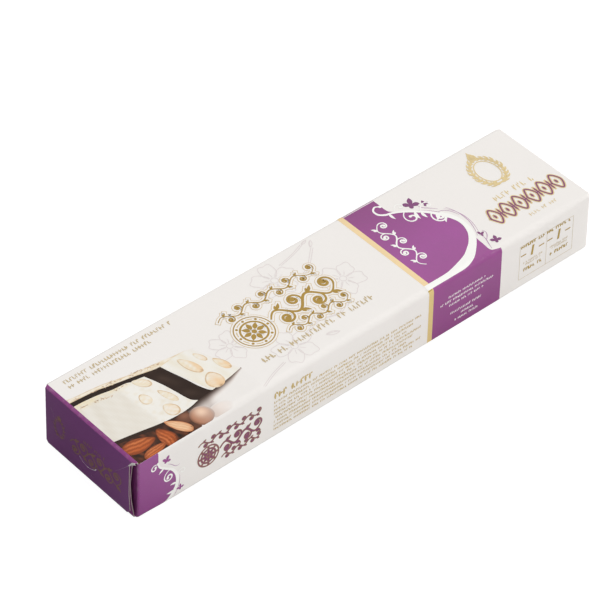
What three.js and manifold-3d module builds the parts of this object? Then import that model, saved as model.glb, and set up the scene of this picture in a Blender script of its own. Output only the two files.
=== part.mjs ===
// The shut folding carton of a nougat bar: a long flat box whose two ends are closed by folded flaps.
// A shut pack is one solid, so the carton is a single body with its folds, creases and flaps in relief.
// Millimetres. +X runs along the carton from the end with the crushed corner, -Y is the side that carries
// the cut edges of the flaps, +Z is up, and the origin is at the middle of the underside.
import * as THREE from "three";
import { mergeVertices } from "three/addons/utils/BufferGeometryUtils.js";
import Module from "manifold-3d";

// Driving dimensions
const length = 200; // over the outer flaps of both ends
const width = 45.4;
const height = 25.1;
const board = 0.45; // thickness of the folding board
const foldRadius = 1.1; // outside of the four long folds
const endFoldRadius = 0.6; // outside of the folds that shut an end
const bevel = { run: 0.85, drop: 1 }; // double crease from the top panel to the outer flap
const flapFoot = 0.3; // the outer flap's lower edge stands this far above the underside
const outerCut = { topIn: 2.3, topDown: 2.5, sideIn: 4.0, sideDown: 3.8, foot: 1.3 }; // its cut side
const innerCut = { top: 21.9, topIn: 2.9, waist: 12.8, waistIn: 3.5, kneeUp: 2.5, kneeIn: 2.5, footIn: 1.8 };
const thumbCut = { across: 2.1, up: 9.9, radius: 5.25, width: 0.3, depth: 0.3, from: 225, to: 320 };
const crushedCorner = [
  { along: 4, across: 1.6, up: 1.6 }, // the blunted tip
  { along: 12, across: 0.55, up: 7 }, // and the softer dent over it
];
const overlap = 1; // how far a flap's solid runs into the body behind it

// Planes of an end, counted inwards from the outer flap's face
const innerFlapIn = board;
const dustFlapIn = 2 * board;

// Directions for carrying an outline along an axis
const axisX = new THREE.Vector3(1, 0, 0);
const axisY = new THREE.Vector3(0, 1, 0);
const axisZ = new THREE.Vector3(0, 0, 1);
const minusY = new THREE.Vector3(0, -1, 0);

const wasm = await Module();
wasm.setup();

// A closed geometry as a solid that can be joined and cut.
function solidOf(geometry) {
  const bare = geometry.clone();
  bare.deleteAttribute("normal");
  bare.deleteAttribute("uv");
  const merged = mergeVertices(bare, 1e-4);
  return new wasm.Manifold(
    new wasm.Mesh({
      numProp: 3,
      vertProperties: merged.attributes.position.array,
      triVerts: new Uint32Array(merged.index.array),
    }),
  );
}

function geometryOf(solid) {
  const { vertProperties, triVerts } = solid.getMesh();
  const geometry = new THREE.BufferGeometry();
  geometry.setAttribute("position", new THREE.BufferAttribute(new Float32Array(vertProperties), 3));
  geometry.setIndex(new THREE.BufferAttribute(new Uint32Array(triVerts), 1));
  geometry.computeVertexNormals();
  return geometry;
}

// A prism whose outline lies in the plane of two axes and is carried along their cross product.
function prism(outline, first, second, start, depth) {
  const along = new THREE.Vector3().crossVectors(first, second);
  const geometry = new THREE.ExtrudeGeometry(outline, { depth, bevelEnabled: false, curveSegments: 8 });
  geometry.applyMatrix4(new THREE.Matrix4().makeBasis(first, second, along));
  geometry.translate(along.x * start, along.y * start, along.z * start);
  return solidOf(geometry);
}

function polygon(points) {
  return new THREE.Shape(points.map(([a, b]) => new THREE.Vector2(a, b)));
}

// A rectangle from (left, low) to (right, high) whose corners are quarter circles.
function roundedRectangle(left, low, right, high, radius) {
  const shape = new THREE.Shape();
  shape.absarc(right - radius, low + radius, radius, -Math.PI / 2, 0);
  shape.absarc(right - radius, high - radius, radius, 0, Math.PI / 2);
  shape.absarc(left + radius, high - radius, radius, Math.PI / 2, Math.PI);
  shape.absarc(left + radius, low + radius, radius, Math.PI, Math.PI * 1.5);
  return shape;
}

// The four panels: the section across, met by the plan, whose corners are the folds of the dust flaps.
function body() {
  const end = length / 2 - dustFlapIn;
  const section = roundedRectangle(-width / 2, 0, width / 2, height, foldRadius);
  const plan = roundedRectangle(-end, -width / 2, end, width / 2, endFoldRadius);
  return prism(section, axisY, axisZ, -end, 2 * end).intersect(prism(plan, axisX, axisY, 0, height));
}

// The flap that the top panel carries down over the end. Seen from the front, its one side is cut away
// in a slope and then upright; seen from the side, it starts with the bevel of the double crease.
function outerFlap() {
  const cutSide = -width / 2;
  const front = polygon([
    [width / 2, flapFoot],
    [width / 2, height],
    [cutSide + foldRadius, height],
    [cutSide + outerCut.topIn, height - outerCut.topDown],
    [cutSide + outerCut.sideIn, height - outerCut.sideDown],
    [cutSide + outerCut.sideIn, flapFoot + outerCut.foot],
    [cutSide + outerCut.sideIn + outerCut.foot, flapFoot],
  ]);
  const face = -length / 2;
  const back = face + dustFlapIn + overlap;
  const profile = polygon([
    [face, 0],
    [face, height - bevel.drop],
    [face + bevel.run, height],
    [back, height],
    [back, 0],
  ]);
  return prism(front, axisY, axisZ, face, back - face).intersect(
    prism(profile, axisX, axisZ, -width / 2, width),
  );
}

// The flap that the bottom panel carries up, behind the outer one and a little wider at its foot.
function innerFlap() {
  const cutSide = -width / 2;
  const face = -length / 2 + innerFlapIn;
  const back = face + board + overlap;
  const front = polygon([
    [cutSide + innerCut.footIn, 0],
    [cutSide + innerCut.kneeIn, innerCut.kneeUp],
    [cutSide + innerCut.waistIn, innerCut.waist],
    [cutSide + innerCut.topIn, innerCut.top],
    [width / 2 - innerCut.topIn, innerCut.top],
    [width / 2 - innerCut.footIn, 0],
  ]);
  const profile = new THREE.Shape();
  profile.moveTo(back, 0);
  profile.lineTo(back, height);
  profile.lineTo(face, height);
  profile.absarc(face + endFoldRadius, endFoldRadius, endFoldRadius, Math.PI, Math.PI * 1.5);
  return prism(front, axisY, axisZ, face, back - face).intersect(
    prism(profile, axisX, axisZ, -width / 2, width),
  );
}

// The crescent cut in the outer flap for a thumb to press in.
function thumbGroove() {
  const { across, up, radius, width: gap, depth, from, to } = thumbCut;
  const crescent = new THREE.Shape();
  const start = THREE.MathUtils.degToRad(from);
  const stop = THREE.MathUtils.degToRad(to);
  crescent.absarc(across, up, radius + gap / 2, start, stop);
  crescent.absarc(across, up, radius - gap / 2, stop, start, true);
  return prism(crescent, axisY, axisZ, -length / 2 - depth, 2 * depth);
}

// Everything beyond a plane that takes the given lengths off the three edges of the lower hidden corner.
function beyondCorner({ along, across, up }) {
  const size = 40;
  const outward = new THREE.Vector3(-1 / along, 1 / across, -1 / up).normalize();
  const block = new THREE.BoxGeometry(size, size, size);
  block.translate(0, 0, size / 2);
  block.applyQuaternion(new THREE.Quaternion().setFromUnitVectors(axisZ, outward));
  block.translate(-length / 2 + along, width / 2, 0);
  return solidOf(block);
}

// The same solid at the other end of the carton.
function atFarEnd(solid) {
  const geometry = geometryOf(solid).scale(-1, 1, 1);
  const corners = geometry.index.array;
  for (let i = 0; i < corners.length; i += 3) {
    [corners[i + 1], corners[i + 2]] = [corners[i + 2], corners[i + 1]];
  }
  return solidOf(geometry);
}

const closure = outerFlap().add(innerFlap()).subtract(thumbGroove());
let shape = body().add(closure).add(atFarEnd(closure));
for (const plane of crushedCorner) {
  shape = shape.subtract(beyondCorner(plane));
}

const printedBoard = new THREE.MeshStandardMaterial({ color: 0xf0ebe6, roughness: 0.5, metalness: 0 });
const carton = new THREE.Mesh(geometryOf(shape), printedBoard);
carton.name = "carton";

const pack = new THREE.Group();
pack.add(carton);

export default pack;
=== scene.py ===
import bpy
import bmesh
import numpy as np
from mathutils import Matrix, Vector


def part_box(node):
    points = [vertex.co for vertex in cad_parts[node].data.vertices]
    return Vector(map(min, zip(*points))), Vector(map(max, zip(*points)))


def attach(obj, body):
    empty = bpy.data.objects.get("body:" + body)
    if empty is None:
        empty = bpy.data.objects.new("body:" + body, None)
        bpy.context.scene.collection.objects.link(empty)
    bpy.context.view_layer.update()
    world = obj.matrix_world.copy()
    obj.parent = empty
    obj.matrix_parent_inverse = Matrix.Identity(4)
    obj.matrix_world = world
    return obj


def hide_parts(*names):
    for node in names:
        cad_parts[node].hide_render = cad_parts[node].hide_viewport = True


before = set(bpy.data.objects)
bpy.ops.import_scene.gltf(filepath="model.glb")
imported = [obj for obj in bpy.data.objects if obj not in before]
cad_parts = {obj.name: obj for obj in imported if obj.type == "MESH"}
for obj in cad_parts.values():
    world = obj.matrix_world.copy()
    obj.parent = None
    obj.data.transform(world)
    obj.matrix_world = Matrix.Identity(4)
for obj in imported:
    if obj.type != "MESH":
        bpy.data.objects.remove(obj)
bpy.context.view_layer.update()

low, high = (np.array(corner) * 1000 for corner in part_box("carton"))
length, width, height = high - low  # millimetres, as all sizes below
halfWidth = width / 2
girth = 2 * (width + height)
print("frame: carton of", length.round(2), width.round(2), height.round(2), "mm")

board = {
    "thickness": 0.3,
    "foldRadius": 1.1,  # outside of the long folds, where they meet the ends
    # places along, and there the radii of the folds: top and back, top and shown side, then the lower ones
    "foldRadii": ((0, (0.45, 1.1, 2.2, 1.1)), (18, (0.6, 2.3, 1.2, 1.1)), (182, (1.6, 2.3, 1.5, 1.1)),
                  (200, (1.7, 1.1, 1.6, 1.1))),
    "foldReach": 2.3,  # the largest of them
    "foldSteps": 16,
    "endFoldRadius": 0.6,  # of the folds that shut the ends
    "dustFlapIn": 0.62,  # from the outer flap's face to the dust flaps
    "bow": (0.14, 0.07, -0.1, 0.07),  # how far the top, shown side, underside and back swell
    "ripple": 0.03,
    # dents: which end, side and level, then what they take off along, across and up
    "dents": ((-1, 1, 0, 4, 1.6, 1.6), (-1, 1, 0, 12, 0.55, 7), (1, -1, 1, 1.5, 1.3, 5)),
    "farFoldRadius": 1.3,  # the far end's upright folds are softer
    "lean": 1.5,  # upright lines lean towards the near end by so much at the far end, and less before it
}
# Places on the wrapped board: x runs from the near end, p round the carton. p is 0 at the fold between the
# top and the shown side, grows down that side, under the carton and up the back, and is negative on the top.
panelStarts = np.array([-width, 0, height, height + width, 2 * height + width])


# Section: at each fold a quarter circle, whose angle grows evenly over p from fold - r to fold + r.
def sectionTable(radii):
    radius = np.array(radii + radii[:1])[:, None]
    turn = np.linspace(0, 1, board["foldSteps"])
    around = panelStarts[:, None] + radius * (2 * turn - 1)
    angle = np.radians(90 * np.arange(5)[:, None] + 90 * turn)
    centreY = np.array([1, -1, -1, 1, 1])[:, None] * (halfWidth - radius)
    centreZ = height / 2 + np.array([1, 1, -1, -1, 1])[:, None] * (height / 2 - radius)
    rows = [around, centreY + radius * np.cos(angle), centreZ + radius * np.sin(angle)]
    return [row.ravel() for row in rows + [np.cos(angle), np.sin(angle)]]


stations = [place for place, radii in board["foldRadii"]]
sections = np.array([sectionTable(radii) for place, radii in board["foldRadii"]])


# Height of the panels over the flat: half a sine across times half a sine along, with a slow ripple in it.
def panelRelief(x, p):
    wrapped = np.where(p < -width, p + girth, np.where(p > girth - width, p - girth, p))
    panel = np.clip(np.searchsorted(panelStarts, wrapped, side="right") - 1, 0, 3)
    across = (wrapped - panelStarts[panel]) / np.diff(panelStarts)[panel]
    hump = np.sin(np.pi * across) * np.sin(np.pi * np.clip(x / length, 0, 1))
    ripple = np.sin(0.11 * x + 2.1 * panel) * np.sin(0.043 * x + panel)
    return hump * (np.array(board["bow"])[panel] + board["ripple"] * ripple)


# Blunts corners: what stands beyond a plane is set back onto it. Upright lines lean by the share of the way
# along, times the height.
def crushed(points):
    for end, side, level, along, across, up in board["dents"]:
        normal = np.array([end / along, side / across, (2 * level - 1) / up])
        normal /= np.linalg.norm(normal)
        beyond = (points - [end * (length / 2 - along), side * halfWidth, level * height]) @ normal
        points = points - np.maximum(beyond, 0)[..., None] * normal
    lean = board["lean"] * np.clip(points[..., 0] / length + 0.5, 0, 1.01) * points[..., 2] / height
    return points - lean[..., None] * np.array([1, 0, 0])


# A step that is level at 0 and at 1: three squares less two cubes.
def smooth(share):
    return share ** 2 * (3 - 2 * share)


# A point of the wrapped board: the section's point at p, pushed out along its normal by relief plus lift, a
# positive lift once the corners are blunted. A station's section counts by a smooth step of how near x is to
# it: wholly at the station and not at all at the next one.
def onBoard(x, p, lift):
    place = np.interp(x, stations, np.arange(len(stations)))
    shares = [smooth(np.clip(1 - np.abs(place - number), 0, 1)) for number in range(len(stations))]
    y, z, normalY, normalZ = (
        sum(share * np.interp(p, section[0], section[row]) for share, section in zip(shares, sections))
        for row in (1, 2, 3, 4))
    away = np.minimum(lift, 0) + panelRelief(x, p)
    bare = crushed(np.stack([x - length / 2, y + normalY * away, z + normalZ * away], axis=-1))
    outward = np.stack([0 * normalY, normalY, normalZ], axis=-1)
    return bare + np.maximum(lift, 0)[..., None] * outward


# Faces of a grid of rows x columns points, row after row, optionally joined round its last column.
def gridQuads(rows, columns, wrap=False):
    index = np.arange(rows * columns).reshape(rows, columns)
    if wrap:
        index = np.hstack([index, index[:, :1]])
    return np.stack([index[:-1, :-1], index[:-1, 1:], index[1:, 1:], index[1:, :-1]], axis=-1).reshape(-1, 4)


# Edges with one face are sharp, so that ink keeps a flat face when it gets its thickness.
def markOpenEdges(mesh):
    edgeOf = np.zeros(len(mesh.loops), np.int32)
    mesh.loops.foreach_get("edge_index", edgeOf)
    single = np.bincount(edgeOf, minlength=len(mesh.edges)) == 1
    sharp = np.zeros(len(mesh.edges), bool)
    mesh.edges.foreach_get("use_edge_sharp", sharp)
    mesh.edges.foreach_set("use_edge_sharp", sharp | single)


# A mesh object at the origin from points in millimetres and quads. cells are the corners' places on the baked
# map, finishes the names of its materials, faceSlots which of them a face has, tint a colour for each point.
# Equal points are merged, unless told otherwise.
def makePiece(name, points, quads, cells, finishes, faceSlots=None, sharpAngle=35, merge=True, tint=None):
    mesh = bpy.data.meshes.new(name)
    mesh.vertices.add(len(points))
    mesh.vertices.foreach_set("co", (points / 1000).astype(np.float32).ravel())
    mesh.loops.add(quads.size)
    mesh.loops.foreach_set("vertex_index", quads.ravel().astype(np.int32))
    mesh.polygons.add(len(quads))
    mesh.polygons.foreach_set("loop_start", np.arange(0, quads.size, 4, dtype=np.int32))
    if faceSlots is not None:
        mesh.polygons.foreach_set("material_index", faceSlots.astype(np.int32))
    mesh.update(calc_edges=True)
    mesh.uv_layers.new(name="OFBake").data.foreach_set("uv", cells.astype(np.float32).ravel())
    if tint is not None:
        rgba = np.hstack([tint, np.ones((len(tint), 1))])
        mesh.color_attributes.new("tint", "FLOAT_COLOR", "POINT").data.foreach_set("color", rgba.ravel())
    if merge:
        shape = bmesh.new()
        shape.from_mesh(mesh)
        bmesh.ops.remove_doubles(shape, verts=shape.verts, dist=1e-7)
        shape.to_mesh(mesh)
        shape.free()
    mesh.validate()
    mesh.shade_smooth()
    mesh.set_sharp_from_angle(angle=np.radians(sharpAngle))
    markOpenEdges(mesh)
    for finish in finishes:
        mesh.materials.append(boardFinishes[finish])
    piece = bpy.data.objects.new(name, mesh)
    bpy.context.scene.collection.objects.link(piece)
    return piece


def rideAndSlot(piece):
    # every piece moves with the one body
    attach(piece, "root")
    return piece


def thicken(piece, label, thickness):
    # the face stays where it is, and its wall grows inwards
    solid = piece.modifiers.new(label, "SOLIDIFY")
    solid.thickness = thickness / 1000
    solid.offset = -1
    return rideAndSlot(piece)


# Shader groups, each with named sockets, shared by all the inks and boards. Inputs are label, kind of socket
# and value, outputs label and kind.
def newGroup(name, inputs, outputs):
    tree = bpy.data.node_groups.new(name, "ShaderNodeTree")
    for label, kind, value in inputs:
        socket = tree.interface.new_socket(label, in_out="INPUT", socket_type=kind)
        if value is not None:
            socket.default_value = value
    for label, kind in outputs:
        tree.interface.new_socket(label, in_out="OUTPUT", socket_type=kind)
    return tree, tree.nodes.new("NodeGroupInput"), tree.nodes.new("NodeGroupOutput")


def addNode(tree, kind, inputs=None, **settings):
    # a node with its settings, and each input set to a value or linked to a socket
    node = tree.nodes.new(kind)
    for key, value in settings.items():
        setattr(node, key, value)
    for socket, value in (inputs or {}).items():
        if isinstance(value, bpy.types.NodeSocket):
            tree.links.new(value, node.inputs[socket])
        else:
            node.inputs[socket].default_value = value
    return node


# One math node on numbers or sockets.
def addMath(tree, operation, first, second=0.0, third=None):
    inputs = {0: first, 1: second}
    if third is not None:
        inputs[2] = third
    return addNode(tree, "ShaderNodeMath", inputs, operation=operation).outputs[0]


# A noise texture's value at a place.
def addNoise(tree, place, scale, detail, distortion=0.0):
    inputs = {"Vector": place, "Scale": scale, "Detail": detail, "Distortion": distortion}
    return addNode(tree, "ShaderNodeTexNoise", inputs).outputs["Fac"]


# A value carried from one range over to another, in a straight line or by a smooth step.
def mapRange(tree, value, fromMin, fromMax, toMin, toMax, kind="LINEAR"):
    spans = {"Value": value, "From Min": fromMin, "From Max": fromMax, "To Min": toMin, "To Max": toMax}
    return addNode(tree, "ShaderNodeMapRange", spans, interpolation_type=kind).outputs[0]


# What all boards and inks share. Noises are given as waves per metre.
surface = {
    "clouds": 70.0, "mottle": 900.0, "fibre": 5200.0,
    "cloudShare": 0.65, "fibreShare": 0.7,  # in the tone and in the height; mottle is the rest of both
    "toneSpan": (0.3, 0.7), "roughSwing": 0.06, "fibreDepth": 0.04,
    "wearReach": 1.2, "rub": 420.0, "rubSpan": (0.42, 0.68), "wornTone": (0.80, 0.77, 0.74, 1),
    # painted shade along the folds: how high the lower line is full and how high it ends; along which x it
    # weakens, and its two strengths; how far in and down from the back fold the other starts and is full;
    # where along x it ends
    "footRise": (0.7, 1.5), "footRun": (-20, 90, 0.7, 0.15),
    "backIn": (0.8, 0.2), "backDown": (1.2, 0.4), "backRun": (-75, -30, 1.0, 0.0),
}


# Slow clouds, ink mottling and the fibres of the board, at three sizes. Tone is clouds and mottle, height is
# fibre and mottle, each by its share.
def grainGroup():
    tree, start, end = newGroup(
        "boardGrain",
        [("Place", "NodeSocketVector", None), ("Clouds", "NodeSocketFloat", surface["clouds"]),
         ("Mottle", "NodeSocketFloat", surface["mottle"]), ("Fibre", "NodeSocketFloat", surface["fibre"])],
        [("Tone", "NodeSocketFloat"), ("Height", "NodeSocketFloat")])
    place = start.outputs["Place"]
    clouds = addNoise(tree, place, start.outputs["Clouds"], 2.0)
    mottle = addNoise(tree, place, start.outputs["Mottle"], 3.0)
    fibre = addNoise(tree, place, start.outputs["Fibre"], 2.0, 0.6)
    for output, main, share in (("Tone", clouds, "cloudShare"), ("Height", fibre, "fibreShare")):
        rest = addMath(tree, "MULTIPLY", mottle, 1 - surface[share])
        tree.links.new(addMath(tree, "MULTIPLY_ADD", main, surface[share], rest), end.inputs[output])
    return tree


# Wear along the folds: the middle one of the three gaps to the carton's sides is the distance to its nearest
# edge; where that is small and a noise is high, the ink is rubbed.
def wearGroup():
    tree, start, end = newGroup(
        "foldWear",
        [("Place", "NodeSocketVector", None), ("Reach", "NodeSocketFloat", surface["wearReach"] / 1000)],
        [("Wear", "NodeSocketFloat")])
    split = addNode(tree, "ShaderNodeSeparateXYZ", {0: start.outputs["Place"]})
    middle = addMath(tree, "SUBTRACT", split.outputs["Z"], height / 2000)
    places = ((split.outputs["X"], length), (split.outputs["Y"], width), (middle, height))
    gaps = [addMath(tree, "SUBTRACT", size / 2000, addMath(tree, "ABSOLUTE", value))
            for value, size in places]
    least = addMath(tree, "MINIMUM", gaps[0], gaps[1])
    most = addMath(tree, "MAXIMUM", gaps[0], gaps[1])
    edge = addMath(tree, "MAXIMUM", least, addMath(tree, "MINIMUM", most, gaps[2]))
    near = mapRange(tree, edge, 0.0, start.outputs["Reach"], 1.0, 0.0, "SMOOTHSTEP")
    rub = addNoise(tree, start.outputs["Place"], surface["rub"], 4.0)
    patchy = mapRange(tree, rub, *surface["rubSpan"], 0.0, 1.0)
    tree.links.new(addMath(tree, "MULTIPLY", near, patchy), end.inputs["Wear"])
    return tree


# Painted shade: a darker line along the lower folds, weaker towards the far end, and along the back fold of
# the top near the near end: each a product of smooth steps over the place's coordinates.
def shadeGroup():
    tree, start, end = newGroup(
        "foldShade", [("Place", "NodeSocketVector", None)], [("Shade", "NodeSocketFloat")])
    split = addNode(tree, "ShaderNodeSeparateXYZ", {0: start.outputs["Place"]})

    def step(axis, first, last, low=0.0, high=1.0):
        # smoothly from low to high between two places along an axis, given in millimetres
        return mapRange(tree, split.outputs[axis], first / 1000, last / 1000, low, high, "SMOOTHSTEP")

    foot = addMath(tree, "MULTIPLY", step("Z", *surface["footRise"], 1.0, 0.0),
                   step("X", *surface["footRun"]))
    back = addMath(tree, "MULTIPLY", step("Y", *(halfWidth - np.array(surface["backIn"]))),
                   step("Z", *(height - np.array(surface["backDown"]))))
    back = addMath(tree, "MULTIPLY", back, step("X", *surface["backRun"]))
    tree.links.new(addMath(tree, "MAXIMUM", foot, back), end.inputs["Shade"])
    return tree


boardGrain = grainGroup()
foldWear = wearGroup()
foldShade = shadeGroup()


# A printed or bare board: its colour shifts with the tone, wears to the board's white at the folds, and the
# fibres lift the surface. Without a colour of its own, it takes the piece's attribute "tint".
def boardMaterial(name, colour=None, roughness=0.42, metallic=0.0, shift=0.08, wear=0.0, bump=0.25, gloss=0.5,
                  paintedFoldShade=0.0):
    material = bpy.data.materials.new(name)
    material.use_nodes = True
    tree = material.node_tree
    shader = tree.nodes["Principled BSDF"]
    place = addNode(tree, "ShaderNodeTexCoord").outputs["Object"]
    grain = addNode(tree, "ShaderNodeGroup", {"Place": place}, node_tree=boardGrain)
    edge = addNode(tree, "ShaderNodeGroup", {"Place": place}, node_tree=foldWear)
    if colour:
        base = addNode(tree, "ShaderNodeRGB").outputs[0]
        base.default_value = (*colour, 1)
    else:
        base = addNode(tree, "ShaderNodeAttribute", attribute_name="tint").outputs["Color"]
    tone = grain.outputs["Tone"]
    strength = mapRange(tree, tone, *surface["toneSpan"], 1 - shift, 1 + shift)
    # painted shade: the colour is darkened along the folds by the fold-shade mask
    if paintedFoldShade:
        shade = addNode(tree, "ShaderNodeGroup", {"Place": place}, node_tree=foldShade)
        unshaded = addMath(tree, "MULTIPLY_ADD", shade.outputs["Shade"], -paintedFoldShade, 1.0)
        strength = addMath(tree, "MULTIPLY", strength, unshaded)
    toned = addNode(tree, "ShaderNodeVectorMath", {0: base, "Scale": strength}, operation="SCALE")
    rubbed = addMath(tree, "MULTIPLY", edge.outputs["Wear"], wear)
    worn = addNode(tree, "ShaderNodeMix", {"Factor": rubbed, "A": toned.outputs[0], "B": surface["wornTone"]},
                   data_type="RGBA")
    tree.links.new(worn.outputs["Result"], shader.inputs["Base Color"])
    swing = surface["roughSwing"]
    rough = mapRange(tree, tone, *surface["toneSpan"], roughness - swing, roughness + swing)
    tree.links.new(rough, shader.inputs["Roughness"])
    fibre = {"Height": grain.outputs["Height"], "Strength": bump, "Distance": surface["fibreDepth"] / 1000}
    lift = addNode(tree, "ShaderNodeBump", fibre)
    tree.links.new(lift.outputs[0], shader.inputs["Normal"])
    shader.inputs["Metallic"].default_value = metallic
    shader.inputs["Specular IOR Level"].default_value = gloss
    return material


creamTone = (0.86, 0.825, 0.79)
# The finishes, in linear colours. Those without a colour print a piece that has its own.
finishLooks = {
    # the cream board carries painted shade along its lower folds and along the back fold of the top
    "creamBoard": {"colour": creamTone, "roughness": 0.5, "shift": 0.012, "paintedFoldShade": 0.2},
    "pictureInk": {"roughness": 0.5, "shift": 0.02, "gloss": 0.15},
    "whiteInk": {"colour": (0.93, 0.92, 0.88), "roughness": 0.5, "shift": 0.012},
    "purpleInk": {"colour": (0.295, 0.052, 0.245), "shift": 0.07, "wear": 0.3},
    "fieldInk": {"shift": 0.07, "wear": 0.3},
    # the purple made bluer for the end faces: painted cool shade
    "endShadeTintedInk": {"colour": (0.262, 0.071, 0.274), "shift": 0.07, "wear": 0.3},
    # a lighter purple for the strip between the creases: a painted highlight
    "creaseHighlightInk": {"colour": (0.40, 0.085, 0.335), "shift": 0.07, "wear": 0.3},
    "goldStripeInk": {"metallic": 0.1, "shift": 0.05},
    "titleGoldInk": {"colour": (0.365, 0.22, 0.028), "roughness": 0.4, "metallic": 0.3},
    "sideTitleInk": {"colour": (0.21, 0.042, 0.115)},
    "sideGoldInk": {"colour": (0.31, 0.17, 0.075)},
    "endGoldInk": {"colour": (0.35, 0.18, 0.14), "metallic": 0.1, "shift": 0.15},
    "rubbedInk": {"colour": (0.46, 0.27, 0.45), "roughness": 0.5, "shift": 0.2},
    "deepInk": {"colour": (0.20, 0.035, 0.16)},
    "chainInk": {"colour": (0.22, 0.045, 0.135)},
    "shadeInk": {"colour": (0.50, 0.30, 0.46), "roughness": 0.5},
    "paleGoldInk": {"colour": (0.62, 0.46, 0.23), "metallic": 0.2},
    "wreathGoldInk": {"colour": (0.70, 0.545, 0.27), "metallic": 0.15},
    "faintGoldInk": {"colour": (0.56, 0.44, 0.25), "roughness": 0.5, "shift": 0.06},
    "oliveGoldInk": {"colour": (0.41, 0.27, 0.035), "shift": 0.06},
    "sideTextInk": {"colour": (0.56, 0.41, 0.15), "roughness": 0.5, "shift": 0.06},
    "mauveInk": {"colour": (0.75, 0.68, 0.665), "roughness": 0.5, "shift": 0.04},
    "rawBoard": {"colour": (0.90, 0.86, 0.83), "roughness": 0.85, "shift": 0.12, "bump": 0.8},
    "cutBoard": {"colour": (0.62, 0.55, 0.50), "roughness": 0.85, "shift": 0.2, "bump": 0.8},
}
boardFinishes = {name: boardMaterial(name, **look) for name, look in finishLooks.items()}
print("materials: made", len(bpy.data.materials))


# The flaps that shut an end. Across runs from the back to the shown side.
endFlaps = {
    "bevelRun": 0.9, "bevelDrop": 1.0,  # the double crease over the outer flap
    "bevelRows": 5, "crown": 0.05,  # of the strip between the two creases
    "reliefDrop": 1.5,  # the flap's relief comes in over so much below them
    "foot": 0.3, "backGap": 0.5,  # the outer flap stops short of the underside and of the back
    # its cut side, as height and how far in from the shown side
    "cut": ((0.3, 4.6), (1.8, 3.35), (8.9, 3.85), (15.4, 3.7), (21.7, 3.6), (23.0, 2.5), (24.6, 1.0),
            (25.1, 0.6)),
    "bow": 0.12,
    "crease": ((41.6, 21.7), (35.2, 14.4), 0.06, 0.32),  # from and to, then height and half width
    "thumb": (21.2, 10.5, 5.3, -137, -32),  # centre across and up, radius, first and last angle
    "press": 0.12,  # how deep the half moon inside it is pushed in
    # its torn rim of raw board, as rows across it: out from the cut, and how proud; then its size along it
    "lip": ((0, 0.15, 0.4), (0, 0.2, 0)),
    "lipSize": ((0, 0.02), (0.35, 0.08), (0.55, 0.3), (0.8, 0.36), (0.87, 1.0), (0.94, 0.95), (1, 0.05)),
    # the torn corner: its line, widths along it, and how proud it is
    "cornerTear": (((41.5, 21.6), (42.2, 22.5), (43.5, 23.95), (44.75, 24.8)), (0.12, 0.4, 0.9, 0.8), 0.14),
    "farTopCut": 1.0,  # the far crease is rounded off so far in from both corners
    "innerCut": ((0, 1.85), (0.8, 2.05), (4.4, 2.85), (7.9, 3.3), (11.5, 3.6), (14, 3.65), (19.5, 3.25),
                 (21.9, 3.0)),
    "innerTop": 21.9, "innerColumns": 24,
    # how far the inner flap bends away from the outer one, and at what height: where they are closest, and
    # how far over and under that the whole gap is reached
    "innerGap": 0.22, "innerBend": (9, 10),
    "clearance": 0.03,  # between the two flaps where they are closest
}


sleeveLook = {
    "ringStep": 1.6, "endSteps": 6, "panelSteps": (34, 20, 34, 20), "foldSteps": 18,
    "cap": ((0, 1.4), (0.6, 1.4), (0.84, 1.4), (0.97, 0.5)),  # scale of each ring, and how far in it leans
}


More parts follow.
